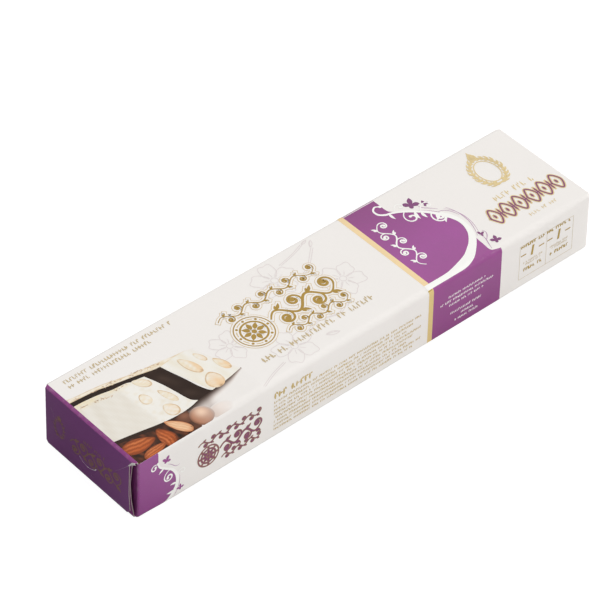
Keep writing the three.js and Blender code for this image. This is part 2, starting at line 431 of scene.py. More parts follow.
# The sleeve: rings of the section along x. At each end the ring is set in round a quarter circle, except on
# the top, and a flat cap, the dust flaps, closes it to a point.
def sleevePiece():
    radius, reach, start = board["foldRadius"], board["foldReach"], board["dustFlapIn"]
    flats = [np.linspace(a + reach, b - reach, n, endpoint=False)
             for a, b, n in zip(panelStarts[:-1], panelStarts[1:], sleeveLook["panelSteps"])]
    folds = [np.linspace(a - reach, a + reach, sleeveLook["foldSteps"], endpoint=False)
             for a in panelStarts[:-1]]
    around = np.concatenate([part for pair in zip(folds, flats) for part in pair])
    turn = np.radians(np.linspace(0, 90, sleeveLook["endSteps"]))
    nearRadius, farRadius = board["endFoldRadius"], board["farFoldRadius"]
    foldX, foldIn = start + nearRadius * (1 - np.cos(turn)), nearRadius * (1 - np.sin(turn))
    farX, farIn = length - start - farRadius * (1 - np.cos(turn)), farRadius * (1 - np.sin(turn))
    body = np.linspace(foldX[-1], farX[-1], int(length / sleeveLook["ringStep"]))[1:-1]
    x = np.concatenate([foldX, body, farX[::-1]])
    inset = np.concatenate([foldIn, 0 * body, farIn[::-1]])
    offTop = np.clip((np.abs(around + halfWidth) - halfWidth + radius) / (2 * radius), 0, 1)
    # the top panel stops at the crease where the outer flaps start
    short = (endFlaps["bevelRun"] - start) * (1 - offTop)
    fromMiddle = np.clip((np.abs(x - length / 2) - length / 2 + start) / 3 + 1, 0, 1)
    ringX = x[:, None] - np.sign(x - length / 2)[:, None] * fromMiddle[:, None] * short
    rings = onBoard(ringX, around + 0 * x[:, None], -inset[:, None] * offTop)
    middle = np.array([0, 0, height / 2])

    def cap(ring, inward):
        # the ring drawn in to its centre by each scale, and moved in along x
        centre = np.array([ring[0, 0], 0, 0]) + middle
        return [centre + scale * (ring - centre) + (inward * lean, 0, 0) for scale, lean in sleeveLook["cap"]]

    rows = np.concatenate([cap(rings[0], 1), rings, cap(rings[-1], -1)[::-1]])
    quads = gridQuads(len(rows), len(around), wrap=True)
    row = np.arange(len(quads)) // len(around)
    column = np.arange(len(quads)) % len(around)
    caps, last = len(sleeveLook["cap"]), len(rows) - 1
    nearFold = (row < caps + len(turn) - 1) & (offTop[column] > 0.5)
    purple = nearFold | (row < caps) | (row >= last - caps)
    around = np.append(around, around[0] + girth)
    along = np.concatenate([np.linspace(-8, -1, caps), x, length + np.linspace(1, 8, caps)])
    cellX, cellY = (along + 10) / (length + 20), (around + width + 2) / (girth + 4)
    cells = np.stack(np.meshgrid(cellX, cellY, indexing="ij"), -1).reshape(-1, 2)
    corners = cells[gridQuads(len(rows), len(around)).ravel()]
    piece = makePiece("sleeve", rows.reshape(-1, 3), quads, corners, ("creamBoard", "purpleInk"), purple)
    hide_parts("carton")
    return rideAndSlot(piece)


sleevePiece()
print("sleeve: done")


# A sheet of board: a grid of face points, the same grid set in along its normals, and a rim joining them. Its
# first rows may have an ink of their own.
def sheetPiece(name, face, normals, printed, firstRows=0, firstInk=None):
    rows, columns = face.shape[:2]
    back = face - normals * board["thickness"]
    quads = gridQuads(rows, columns)
    corner = face.reshape(-1, 3)[quads[0]]
    if np.cross(corner[1] - corner[0], corner[2] - corner[1]) @ normals[0, 0] < 0:
        face, back = face[:, ::-1], back[:, ::-1]
    index = np.arange(rows * columns).reshape(rows, columns)
    rim = np.concatenate([index[0, :-1], index[:-1, -1], index[-1, :0:-1], index[:0:-1, 0]])
    after = np.roll(rim, -1)
    behind = rows * columns
    rimQuads = np.stack([after, rim, rim + behind, after + behind], axis=-1)
    points = np.concatenate([face.reshape(-1, 3), back.reshape(-1, 3)])
    allQuads = np.concatenate([quads, quads[:, ::-1] + behind, rimQuads])
    slots = (np.arange(len(allQuads)) >= len(quads)).astype(int)
    slots[:firstRows * (columns - 1)] = 2
    # on the baked map the face lies lowest, then the back, and the rim along the top
    v, u = np.mgrid[0:rows, 0:columns].reshape(2, -1) / [[rows - 1], [columns - 1]]
    frontCells = np.stack([0.03 + 0.94 * u, 0.03 + 0.5 * v], -1)
    backCells = np.stack([0.03 + 0.94 * u, 0.58 + 0.3 * v], -1)
    along = np.linspace(0.03, 0.97, len(rim) + 1)
    foot, head = np.full(len(rim), 0.92), np.full(len(rim), 0.97)
    rimCells = np.stack([along[1:], foot, along[:-1], foot, along[:-1], head, along[1:], head], -1)
    cells = np.concatenate([frontCells[quads.ravel()], backCells[quads[:, ::-1].ravel()],
                            rimCells.reshape(-1, 2)])
    finishes = [printed, "cutBoard"] + ([firstInk] if firstInk else [])
    return rideAndSlot(makePiece(name, points, allQuads, cells, finishes, slots, sharpAngle=20))


# A path through corner points, resampled evenly, its corners rounded by averaging neighbours.
def softPath(corners, step, blend):
    corners = np.array(corners, float)
    walked = np.concatenate([[0], np.cumsum(np.linalg.norm(np.diff(corners, axis=0), axis=1))])
    s = np.linspace(0, walked[-1], int(walked[-1] / step) + 1)
    path = np.stack([np.interp(s, walked, corners[:, k]) for k in (0, 1)], axis=1)
    padded = np.pad(path, ((blend, blend), (0, 0)), mode="reflect", reflect_type="odd")
    kernel = np.ones(2 * blend + 1) / (2 * blend + 1)
    return np.stack([np.convolve(padded[:, k], kernel, mode="valid") for k in (0, 1)], axis=1)


# Height of the outer flap's face over its plane, over across (from the back) and up: a bow, a creased line
# as a narrow ridge, and the pressed-in half moon inside the thumb cut, deepest at the cut.
def flapRelief(across, up):
    bow = endFlaps["bow"]
    for place, size in ((across, width), (up, height)):
        bow = bow * np.sin(np.pi * np.clip(place / size, 0, 1))
    first, last, ridge, half = endFlaps["crease"]
    first, last = np.array(first), np.array(last)
    span = last - first
    share = np.clip(((across - first[0]) * span[0] + (up - first[1]) * span[1]) / (span @ span), 0, 1)
    off = np.hypot(across - first[0] - share * span[0], up - first[1] - share * span[1])
    crease = ridge * (1 - 0.6 * share) * np.exp(-((off / half) ** 2))
    centreX, centreZ, radius = endFlaps["thumb"][:3]
    inside = np.hypot(across - centreX, up - centreZ) / radius
    pressed = np.where(inside < 1, inside ** 3, 0) * np.clip((centreZ - up) / radius, 0, 1) ** 0.5
    return bow + crease - endFlaps["press"] * pressed


# A point of an end's outer flap: end is -1 for the near end and 1 for the far end.
def onFlap(across, up, lift, end):
    out = length / 2 + lift + flapRelief(across, up)
    return crushed(np.stack([end * out, halfWidth - across, up + 0 * across], axis=-1))


# The outer flap: the strip between the creases, then the flap down to its foot. Each row runs from near the
# back to the cut side.
def outerFlapPiece(name, end, step):
    run, drop = endFlaps["bevelRun"], endFlaps["bevelDrop"]
    turn = np.linspace(0, np.pi, endFlaps["bevelRows"])[:, None]
    bevel = np.linspace((run, height), (0, height - drop), len(turn))
    bevel += endFlaps["crown"] * np.sin(turn) * (-1, 1)
    fall = np.linspace(height - drop, endFlaps["foot"], int(height / step))[1:]
    depth, up = np.concatenate([bevel, np.stack([0 * fall, fall], 1)]).T
    cutUp, cutIn = np.array(endFlaps["cut"]).T
    share = np.linspace(0, 1, int(width / step))
    rounded = endFlaps["farTopCut"] * (end > 0) * np.clip((up - height + drop) / drop + 0.4, 0, 1) ** 0.5
    first, last = endFlaps["backGap"] + rounded, width - np.interp(up, cutUp, cutIn) - rounded
    across = first[:, None] + share * (last - first)[:, None]
    upGrid = up[:, None] + 0 * across
    flat = np.clip((height - drop - upGrid) / endFlaps["reliefDrop"], 0, 1)
    out = length / 2 - depth[:, None] + flat * flapRelief(across, upGrid)
    face = crushed(np.stack([end * out, halfWidth - across, upGrid], axis=-1))
    slope = np.gradient(np.stack([depth, up], axis=1), axis=0)
    normal = np.stack([end * -slope[:, 1], 0 * up, -slope[:, 0]], axis=1)
    normal /= np.linalg.norm(normal, axis=1)[:, None]
    # the near crease strip gets the lighter purple of a painted highlight
    ink = "creamBoard" if end > 0 else "creaseHighlightInk"
    # the flaps' faces take the bluer purple of painted shade
    return sheetPiece(name, face, np.broadcast_to(normal[:, None], face.shape), "endShadeTintedInk", len(bevel) - 1, ink)


# The inner flap: out from the underside round a fold and up, bent away from the outer flap by squares of the
# height over its middle.
def innerFlapPiece(name, end, step):
    thickness, radius = board["thickness"], board["endFoldRadius"]
    corners = [(2 * radius + thickness, 0), (thickness, 0), (thickness, endFlaps["innerTop"])]
    depth, up = softPath(corners, step, int(0.6 * radius / step)).T
    closest, half = endFlaps["innerBend"]
    bend = endFlaps["innerGap"] * np.clip((up - closest) / half, -1, 1.1) ** 2 * (up > 1)
    cutUp, cutIn = np.array(endFlaps["innerCut"]).T
    cut = np.interp(up, cutUp, cutIn)
    share = np.linspace(0, 1, endFlaps["innerColumns"])
    across = cut[:, None] + share * (width - 2 * cut)[:, None]
    out = length / 2 - (depth + bend + endFlaps["clearance"])[:, None] + 0 * across
    face = crushed(np.stack([end * out, halfWidth - across, up[:, None] + 0 * across], axis=-1))
    slope = np.gradient(np.stack([depth, up], axis=1), axis=0)
    normal = np.stack([end * slope[:, 1], 0 * up, slope[:, 0]], axis=1)
    normal /= np.linalg.norm(normal, axis=1)[:, None]
    return sheetPiece(name, face, np.broadcast_to(normal[:, None], face.shape), "purpleInk")


# A torn edge: a low ridge of raw board on the outer flap, from rows of places across and up, and their lift.
def tearPiece(name, across, up, lift, end):
    points = onFlap(across, up, lift, end)[:, ::-end]
    rows, columns = across.shape
    u, v = np.meshgrid(np.linspace(0.1, 0.9, columns), np.linspace(0.05, 0.95, rows))
    quads = gridQuads(rows, columns)
    corners = np.stack([u, v], -1).reshape(-1, 2)[quads.ravel()]
    piece = makePiece(name, points.reshape(-1, 3), quads, corners, ["rawBoard"], sharpAngle=60, merge=False)
    return thicken(piece, "board", 0.05)


# The lower rim of the thumb cut, highest towards the shown side; and at the near end the torn upper corner of
# the cut side.
def tears(endName, end):
    x, z, radius, first, last = endFlaps["thumb"]
    out, proud = np.array(endFlaps["lip"])
    share = np.linspace(0, 1, 44)
    angle = np.radians(first + (last - first) * share)[:, None]
    size = np.interp(share, *zip(*endFlaps["lipSize"]))[:, None]
    away = radius + out * size
    tearPiece("thumbLip" + endName, x + away * np.cos(angle), z + away * np.sin(angle), proud * size, end)
    if end > 0:
        return
    knots, widths, raised = endFlaps["cornerTear"]
    path = throughKnots(knots, 24)
    strip = tapered(path, widths)
    ridge = np.concatenate([strip[:, :1], path[:, None], strip[:, 1:]], axis=1)[:, ::-1]
    across, up = ridge[..., 0], ridge[..., 1]
    tearPiece("cornerTear" + endName, across, up, 0 * across + (0, raised, 0), end)


# Line work. A printed shape is a grid of places (rows, columns, 2), or many alike (count, rows, columns, 2).
def running(values, s):
    # running integral by trapezoids
    return np.concatenate([[0], np.cumsum((values[1:] + values[:-1]) / 2 * np.diff(s))])


# A line whose heading turns by so many degrees a millimetre, given at even stations: it curls where they
# are high.
def scrollPath(start, heading, reach, turning, steps):
    s = np.linspace(0, reach, steps)
    rate = np.interp(s, np.linspace(0, reach, len(turning)), turning)
    angle = np.radians(heading + running(rate, s))
    return np.stack([start[0] + running(np.cos(angle), s), start[1] + running(np.sin(angle), s)], axis=1)


# A smooth line through knots: Catmull-Rom cubics between each pair.
def throughKnots(knots, steps):
    knots = np.array(knots, float)
    padded = np.concatenate([[2 * knots[0] - knots[1]], knots, [2 * knots[-1] - knots[-2]]])
    t = np.linspace(0, len(knots) - 1, steps)
    piece = np.minimum(t.astype(int), len(knots) - 2)
    f = (t - piece)[:, None]
    a, b, c, d = (padded[piece + k] for k in range(4))
    curve = 2 * b + (c - a) * f + (2 * a - 5 * b + 4 * c - d) * f ** 2
    return 0.5 * (curve + (3 * b - a - 3 * c + d) * f ** 3)


# A stroke: the path, and half its width out on either side.
def ribbon(path, widths):
    along = np.gradient(path, axis=0)
    along /= np.maximum(np.linalg.norm(along, axis=1), 1e-9)[:, None]
    half = (np.asarray(widths) / 2 + np.zeros(len(path)))[:, None]
    side = np.stack([-along[:, 1], along[:, 0]], axis=1) * half
    return np.stack([path + side, path - side], axis=1)


def tapered(path, widths):
    # a stroke whose width goes straight from each to the next
    return ribbon(path, np.interp(np.linspace(0, 1, len(path)), np.linspace(0, 1, len(widths)), widths))


def swelling(steps, thin, thick, peak=0.5):
    # thin at both ends and thick at the peak, as a bent sine
    t = np.linspace(0, 1, steps) ** (np.log(0.5) / np.log(peak))
    return thin + (thick - thin) * np.sin(np.pi * t)


def disc(centre, radiusX, radiusY=None, steps=12):
    # chords from bottom to top
    k = np.pi * np.linspace(0.05, 0.95, steps)
    half, up = radiusX * np.sin(k), -(radiusY or radiusX) * np.cos(k)
    left = np.stack([centre[0] - half, centre[1] + up], 1)
    return np.stack([left, left + np.stack([2 * half, 0 * half], 1)], 1)


def leaf(base, heading, reach, fat, bend=0.0):
    # a bent stroke that swells before its middle
    steps = 12
    return ribbon(scrollPath(base, heading, reach, [bend, bend], steps), swelling(steps, 0.04, fat, 0.42))


def ovalRing(centre, radiusX, radiusY, thick, steps=40):
    # a stroke round an oval: cosine and sine of the angle, each times its radius
    angle = np.linspace(0, 2 * np.pi, steps)
    return ribbon(np.array(centre) + np.stack([radiusX * np.cos(angle), radiusY * np.sin(angle)], 1), thick)


def placed(shapes, at=(0, 0), scale=1.0, turn=0.0):
    # scaled and turned about the origin, then moved
    c, s = np.cos(np.radians(turn)) * scale, np.sin(np.radians(turn)) * scale
    return [shape @ np.array([[c, s], [-s, c]]) + np.array(at) for shape in shapes]


for endName, end, step in (("Near", -1, 0.3), ("Far", 1, 0.5)):
    outerFlapPiece("outerFlap" + endName, end, step)
    innerFlapPiece("innerFlap" + endName, end, 0.3)
    tears(endName, end)
print("end flaps: done")


# The same strokes made wider by an even margin, their ends moved out as well: for the outlines round them.
def grown(shapes, margin):
    wider = []
    for shape in shapes:
        middle = shape.mean(axis=-2)
        side = shape[..., 0, :] - middle
        half = np.maximum(np.linalg.norm(side, axis=-1, keepdims=True), 1e-6)
        side = side * (1 + margin / half)
        along = np.gradient(middle, axis=-2)
        along /= np.maximum(np.linalg.norm(along, axis=-1, keepdims=True), 1e-9)
        push = np.zeros(middle.shape[-2])
        push[0], push[-1] = -margin, margin
        middle = middle + along * push[:, None]
        wider.append(np.stack([middle + side, middle - side], axis=-2))
    return wider


# Small six-sided marks, all in one array: centres, half lengths, half widths and headings.
def marks(centres, reach, half, heading):
    centres, reach, half = np.atleast_2d(centres), np.asarray(reach)[..., None], np.asarray(half)[..., None]
    angle = np.radians(np.asarray(heading) + np.zeros(len(centres)))
    along = np.stack([np.cos(angle), np.sin(angle)], 1)
    side = np.stack([-along[:, 1], along[:, 0]], 1)
    rows = []
    for place, share in ((-1, 0.35), (0, 1), (1, 0.35)):
        middle, out = centres + place * reach * along, share * half * side
        rows.append(np.stack([middle + out, middle - out], 1))
    return np.stack(rows, axis=1)


# A running scroll: a sine stem; from each crossing a spiral curls back into the hollow it leaves, with two
# leaves at the crest.
def runningScroll(reach, tall, waves, thick):
    swing = tall * 0.30
    x = np.linspace(0, reach, 16 * waves)
    wave = np.pi * waves / reach
    shapes = [ribbon(np.stack([x, swing * np.sin(wave * x)], 1), swelling(len(x), 0.5 * thick, 0.9 * thick))]
    slope = np.degrees(np.arctan(swing * wave))
    tight = np.degrees(1 / (tall * np.array([0.42, 0.30, 0.24, 0.17, 0.09])))
    for k in range(waves):
        up = 1 if k % 2 == 0 else -1
        path = scrollPath(((k + 1) * reach / waves, 0.0), -up * slope, tall * 1.75, -up * tight, 34)
        shapes.append(ribbon(path, np.linspace(0.6 * thick, thick, 34)))
        shapes.append(disc(path[-1], 0.95 * thick))
        top = ((k + 0.62) * reach / waves, up * swing * 0.95)
        shapes.append(leaf(top, up * 28, tall * 0.42, tall * 0.15, up * 56 / tall))
        shapes.append(leaf(top, up * 75, tall * 0.26, tall * 0.12, -up * 80 / tall))
    return shapes


# A round ornament: eight petals about a button, inside two rings and a row of beads.
def rosette(radius):
    shapes = [disc((0, 0), 0.13 * radius), ovalRing((0, 0), 0.66 * radius, 0.66 * radius, 0.10 * radius),
              ovalRing((0, 0), 0.97 * radius, 0.97 * radius, 0.06 * radius)]
    for turn in np.arange(8) * 45.0:
        shapes += placed([leaf((0.17 * radius, 0), 0, 0.44 * radius, 0.24 * radius),
                          disc((0.82 * radius, 0), 0.07 * radius, steps=8)], turn=turn)
    return shapes


# An oval wreath: two thin rings with leaves standing out between and around them, a bow of curls at the foot
# and a sprig over the top.
def wreath(radiusX, radiusY, leafReach, pairs, thin):
    thick = thin * radiusX
    shapes = [ovalRing((0, 0), radiusX, radiusY, thick),
              ovalRing((0, 0), 0.8 * radiusX, 0.82 * radiusY, 0.7 * thick)]
    for side in (1, -1):
        for number, angle in enumerate(np.linspace(-74, 72, pairs)):
            turn = np.radians(angle)
            at = np.array([side * radiusX * np.cos(turn), radiusY * np.sin(turn)])
            ahead = np.degrees(np.arctan2(radiusY * np.cos(turn), -side * radiusX * np.sin(turn)))
            for lean, share in ((-58 * side, 1.0), (-18 * side, 0.75), (48 * side, 0.5)):
                reach = leafReach * share * (1 + 0.15 * np.sin(2.4 * number + lean))
                shapes.append(leaf(at, ahead + lean, reach, 0.3 * leafReach * share, -lean * 0.4))
        curl = [0, side * 60, side * 130]
        foot = scrollPath((0, -radiusY * 1.02), -90 + side * 74, 1.9 * leafReach, curl, 30)
        shapes.append(ribbon(foot, swelling(30, 0.5 * thick, 1.6 * thick)))
    top, fat = (0, radiusY * 1.06), 0.4 * leafReach
    for heading, reach in ((90, 1.6), (132, 1.3), (48, 1.3), (166, 1.1), (14, 1.1)):
        shapes.append(leaf(top, heading, reach * leafReach, fat, (90 - heading) * 0.5))
    return shapes


# Rows of strokes in groups, as small print: each place has an upright, and most a short one beside it. Weight
# is the strokes' share of the height, gaps the share of places that are left open.
def printedRows(left, right, low, tall, seed, weight=0.36, gaps=0.17):
    draw = np.random.default_rng(seed)
    pitch = tall * 0.68
    count = int((right - left) / pitch)
    at = left + (np.arange(count) + np.cumsum(draw.random(count) < gaps)) * pitch
    at = at[at < right - pitch]
    half = tall * (0.84 + 0.16 * draw.random(len(at))) / 2
    centres = np.stack([at + 0.3 * pitch, low + half], 1)
    thick = tall * weight * (0.5 + 0.4 * draw.random(len(at))) / 2 * 1.2
    beside = np.stack([at + 0.72 * pitch, low + tall * draw.choice([0.16, 0.5, 0.84], len(at))], 1)
    lean = draw.choice([0, 0, 70, -70], len(at)) + 12 * draw.random(len(at))
    return [marks(centres, half, thick, 92 - 8 * draw.random(len(at))),
            marks(beside, tall * (0.12 + 0.14 * draw.random(len(at))), 0.8 * thick, lean)]


# How each panel is read: where its y = 0 lies on the wrapped board, and the sense in which p goes with y.
panels = {
    "top": (0, -1), "side": (height, -1), "under": (height + width, -1), "back": (height + width, 1),
}


# From reading the named panels, x along and y up, to places on the wrapped board.
def onPanels(names, shapes):
    places = []
    for foot, sense in (panels[name] for name in names.split()):
        places += [np.stack([shape[..., 0], foot + sense * shape[..., 1]], -1) for shape in shapes]
    return places


printLook = {
    # heights over the board
    "field": 0.02, "picture": 0.02, "faint": 0.025, "line": 0.03, "outline": 0.034, "overLine": 0.04,
    "halo": 0.044, "scuff": 0.05, "ornament": 0.054,
    "ink": 0.008,  # thickness
    "stack": 0.005, "pictureStack": 0.02, "mostStep": 0.001,  # the shapes of a piece lie within the stack
    "cellMargin": 0.08,  # on the baked map
}


# Lays printed shapes on the board as thin ink. A shape is a grid of places, or many alike; each lies a little
# over the one before. Faces turn outwards by the sign of their area. Each shape gets a cell of the baked map.
def printPiece(name, shapes, level, ink, mapping=onBoard, turnedOut=-1, tints=None, stack="stack"):
    points, quads, colours, cells, offset = [], [], [], [], 0
    across = int(np.ceil(np.sqrt(len(shapes))))
    step = min(printLook[stack] / len(shapes), printLook["mostStep"])
    margin = printLook["cellMargin"]
    for number, shape in enumerate(shapes):
        grids = shape.reshape(-1, *shape.shape[-3:])
        count, rows, columns = grids.shape[:3]
        a, b, c = grids[:, :-1, :-1], grids[:, :-1, 1:], grids[:, 1:, :-1]
        area = ((b - a)[..., 0] * (c - a)[..., 1] - (b - a)[..., 1] * (c - a)[..., 0]).sum((1, 2))
        flip = (area * turnedOut < 0)[:, None, None, None]
        grids = np.where(flip, grids[:, :, ::-1], grids)
        lift = printLook[level] + step * number
        points.append(mapping(grids[..., 0].ravel(), grids[..., 1].ravel(), lift))
        if tints is not None:
            tint = np.broadcast_to(tints[number], (count, rows, columns, 3))
            colours.append(np.where(flip, tint[:, :, ::-1], tint).reshape(-1, 3))
        inner = int(np.ceil(np.sqrt(count)))
        own = np.arange(count)[:, None, None]
        alongU = margin + (1 - 2 * margin) * np.linspace(0, 1, columns)
        alongV = margin + (1 - 2 * margin) * np.linspace(0, 1, rows)[:, None]
        cellU = (number % across + (own % inner + alongU + 0 * alongV) / inner) / across
        cellV = (number // across + (own // inner + alongV + 0 * alongU) / inner) / across
        cells.append(np.stack([cellU, cellV], -1).reshape(-1, 2))
        each = gridQuads(rows, columns)
        quads.append((each + own * rows * columns).reshape(-1, 4) + offset)
        offset += grids[..., 0].size
    quads = np.concatenate(quads)
    piece = makePiece(name, np.concatenate(points), quads, np.concatenate(cells)[quads.ravel()], [ink],
                      merge=False, tint=np.concatenate(colours) if colours else None)
    return thicken(piece, "ink", printLook["ink"])


# Places between two edges, each given as x over p.
def fieldBetween(p, leftX, rightX, columns):
    share = np.linspace(0, 1, columns)
    x = leftX[:, None] + share * (rightX - leftX)[:, None]
    return np.stack([x, p[:, None] + 0 * x], -1)


# Samples of p from first to last, close together over the folds.
def roundTheCarton(first, last):
    reach = board["foldReach"]
    folds = [np.linspace(a - reach, a + reach, 25) for a in panelStarts]
    flats = [np.linspace(a + reach, b - reach, 12) for a, b in zip(panelStarts[:-1], panelStarts[1:])]
    every = np.unique(np.round(np.concatenate(folds + flats + [[first, last]]), 4))
    return every[(every >= first) & (every <= last)]


fields = {
    "stripe": (124.0, 126.1), "band": (126.1, 157.3),
    # the band's right edge on the top: in from the shown side, and x
    "topEdge": ((45.4, 139.8), (41, 139.8), (38, 139.8), (36.2, 140.6), (33.5, 144.2), (31, 148.2),
                (27.2, 152.2), (22.3, 154.9), (17, 155.9), (13, 155.4), (10.2, 154.3), (8.3, 153.7),
                (5, 153.5), (2.6, 153.3), (1.2, 153.8), (0.5, 155.6), (0, 157.5)),
    # the near field's edge on a long side: up from the underside, and x
    "cornerEdge": ((25.1, 8.7), (19.6, 8.8), (17.2, 9.9), (14.6, 13.2), (12.2, 15.1), (9.5, 16.0), (7, 16.0),
                   (4, 15.0), (1.6, 12.8), (0, 10.6)),
    "cornerFoot": -0.4, "cornerHead": 0.35,  # it runs on under the carton, and stops short of the top
    # painted light and shade in the inks, as colour at some p, the top's back first, then down the shown
    # side: the band darker at the top's back, lighter over the middle of the top as a painted sheen, and
    # darker low on the side as painted shade; the corners darker towards the bottom as painted shade; the
    # stripe lighter on the top than on the side
    "bandTone": ((-45.4, (0.255, 0.034, 0.198)), (-16, (0.330, 0.056, 0.284)), (-2, (0.315, 0.054, 0.262)),
                 (3, (0.292, 0.051, 0.243)), (25, (0.246, 0.040, 0.200)), (60, (0.295, 0.052, 0.245))),
    "cornerTone": ((0, (0.295, 0.064, 0.258)), (25, (0.266, 0.050, 0.230)), (60, (0.295, 0.052, 0.245))),
    "stripeTone": ((-0.2, (0.84, 0.63, 0.34)), (1.0, (0.73, 0.545, 0.215)), (60, (0.75, 0.56, 0.24))),
}


# The tone of an ink over a grid of places, by straight lines over p.
def toneOver(grid, tones):
    at, colours = zip(*tones)
    return np.stack([np.interp(grid[..., 1], at, channel) for channel in zip(*colours)], axis=-1)


# Grids printed as one field, each tinted by its tone over p, which holds painted light and shade.
def fieldPiece(name, grids, tones, ink):
    printPiece(name, grids, "field", ink, tints=[toneOver(grid, fields[tones]) for grid in grids])


# The band: on the top up to its lobed edge, and straight round the other panels.
def purpleBand():
    edge = throughKnots(fields["topEdge"], 90)
    left, right = fields["band"]
    top = fieldBetween(-edge[:, 0], left + 0 * edge[:, 0], edge[:, 1], 26)
    rest = roundTheCarton(0, 2 * height + width)
    around = fieldBetween(rest, left + 0 * rest, right + 0 * rest, 26)
    fieldPiece("purpleBand", [top, around], "bandTone", "fieldInk")


# The near fields of both long sides, from the end's fold to their edge.
def purpleCorners():
    start = board["dustFlapIn"] + board["endFoldRadius"]
    path = throughKnots(fields["cornerEdge"], 120)[::-1]
    up = np.linspace(fields["cornerFoot"], height - fields["cornerHead"], 110)
    rows = fieldBetween(up, start + 0 * up, np.interp(up, path[:, 0], path[:, 1]), 8)
    fieldPiece("purpleCorners", onPanels("side back", [rows]), "cornerTone", "fieldInk")


# The stripe beside the band, round the whole carton.
def goldStripe():
    p = roundTheCarton(-width, 2 * height + width)
    left, right = fields["stripe"]
    fieldPiece("goldStripe", [fieldBetween(p, left + 0 * p, right + 0 * p, 4)], "stripeTone", "goldStripeInk")


purpleBand()
purpleCorners()
goldStripe()
print("fields: done")

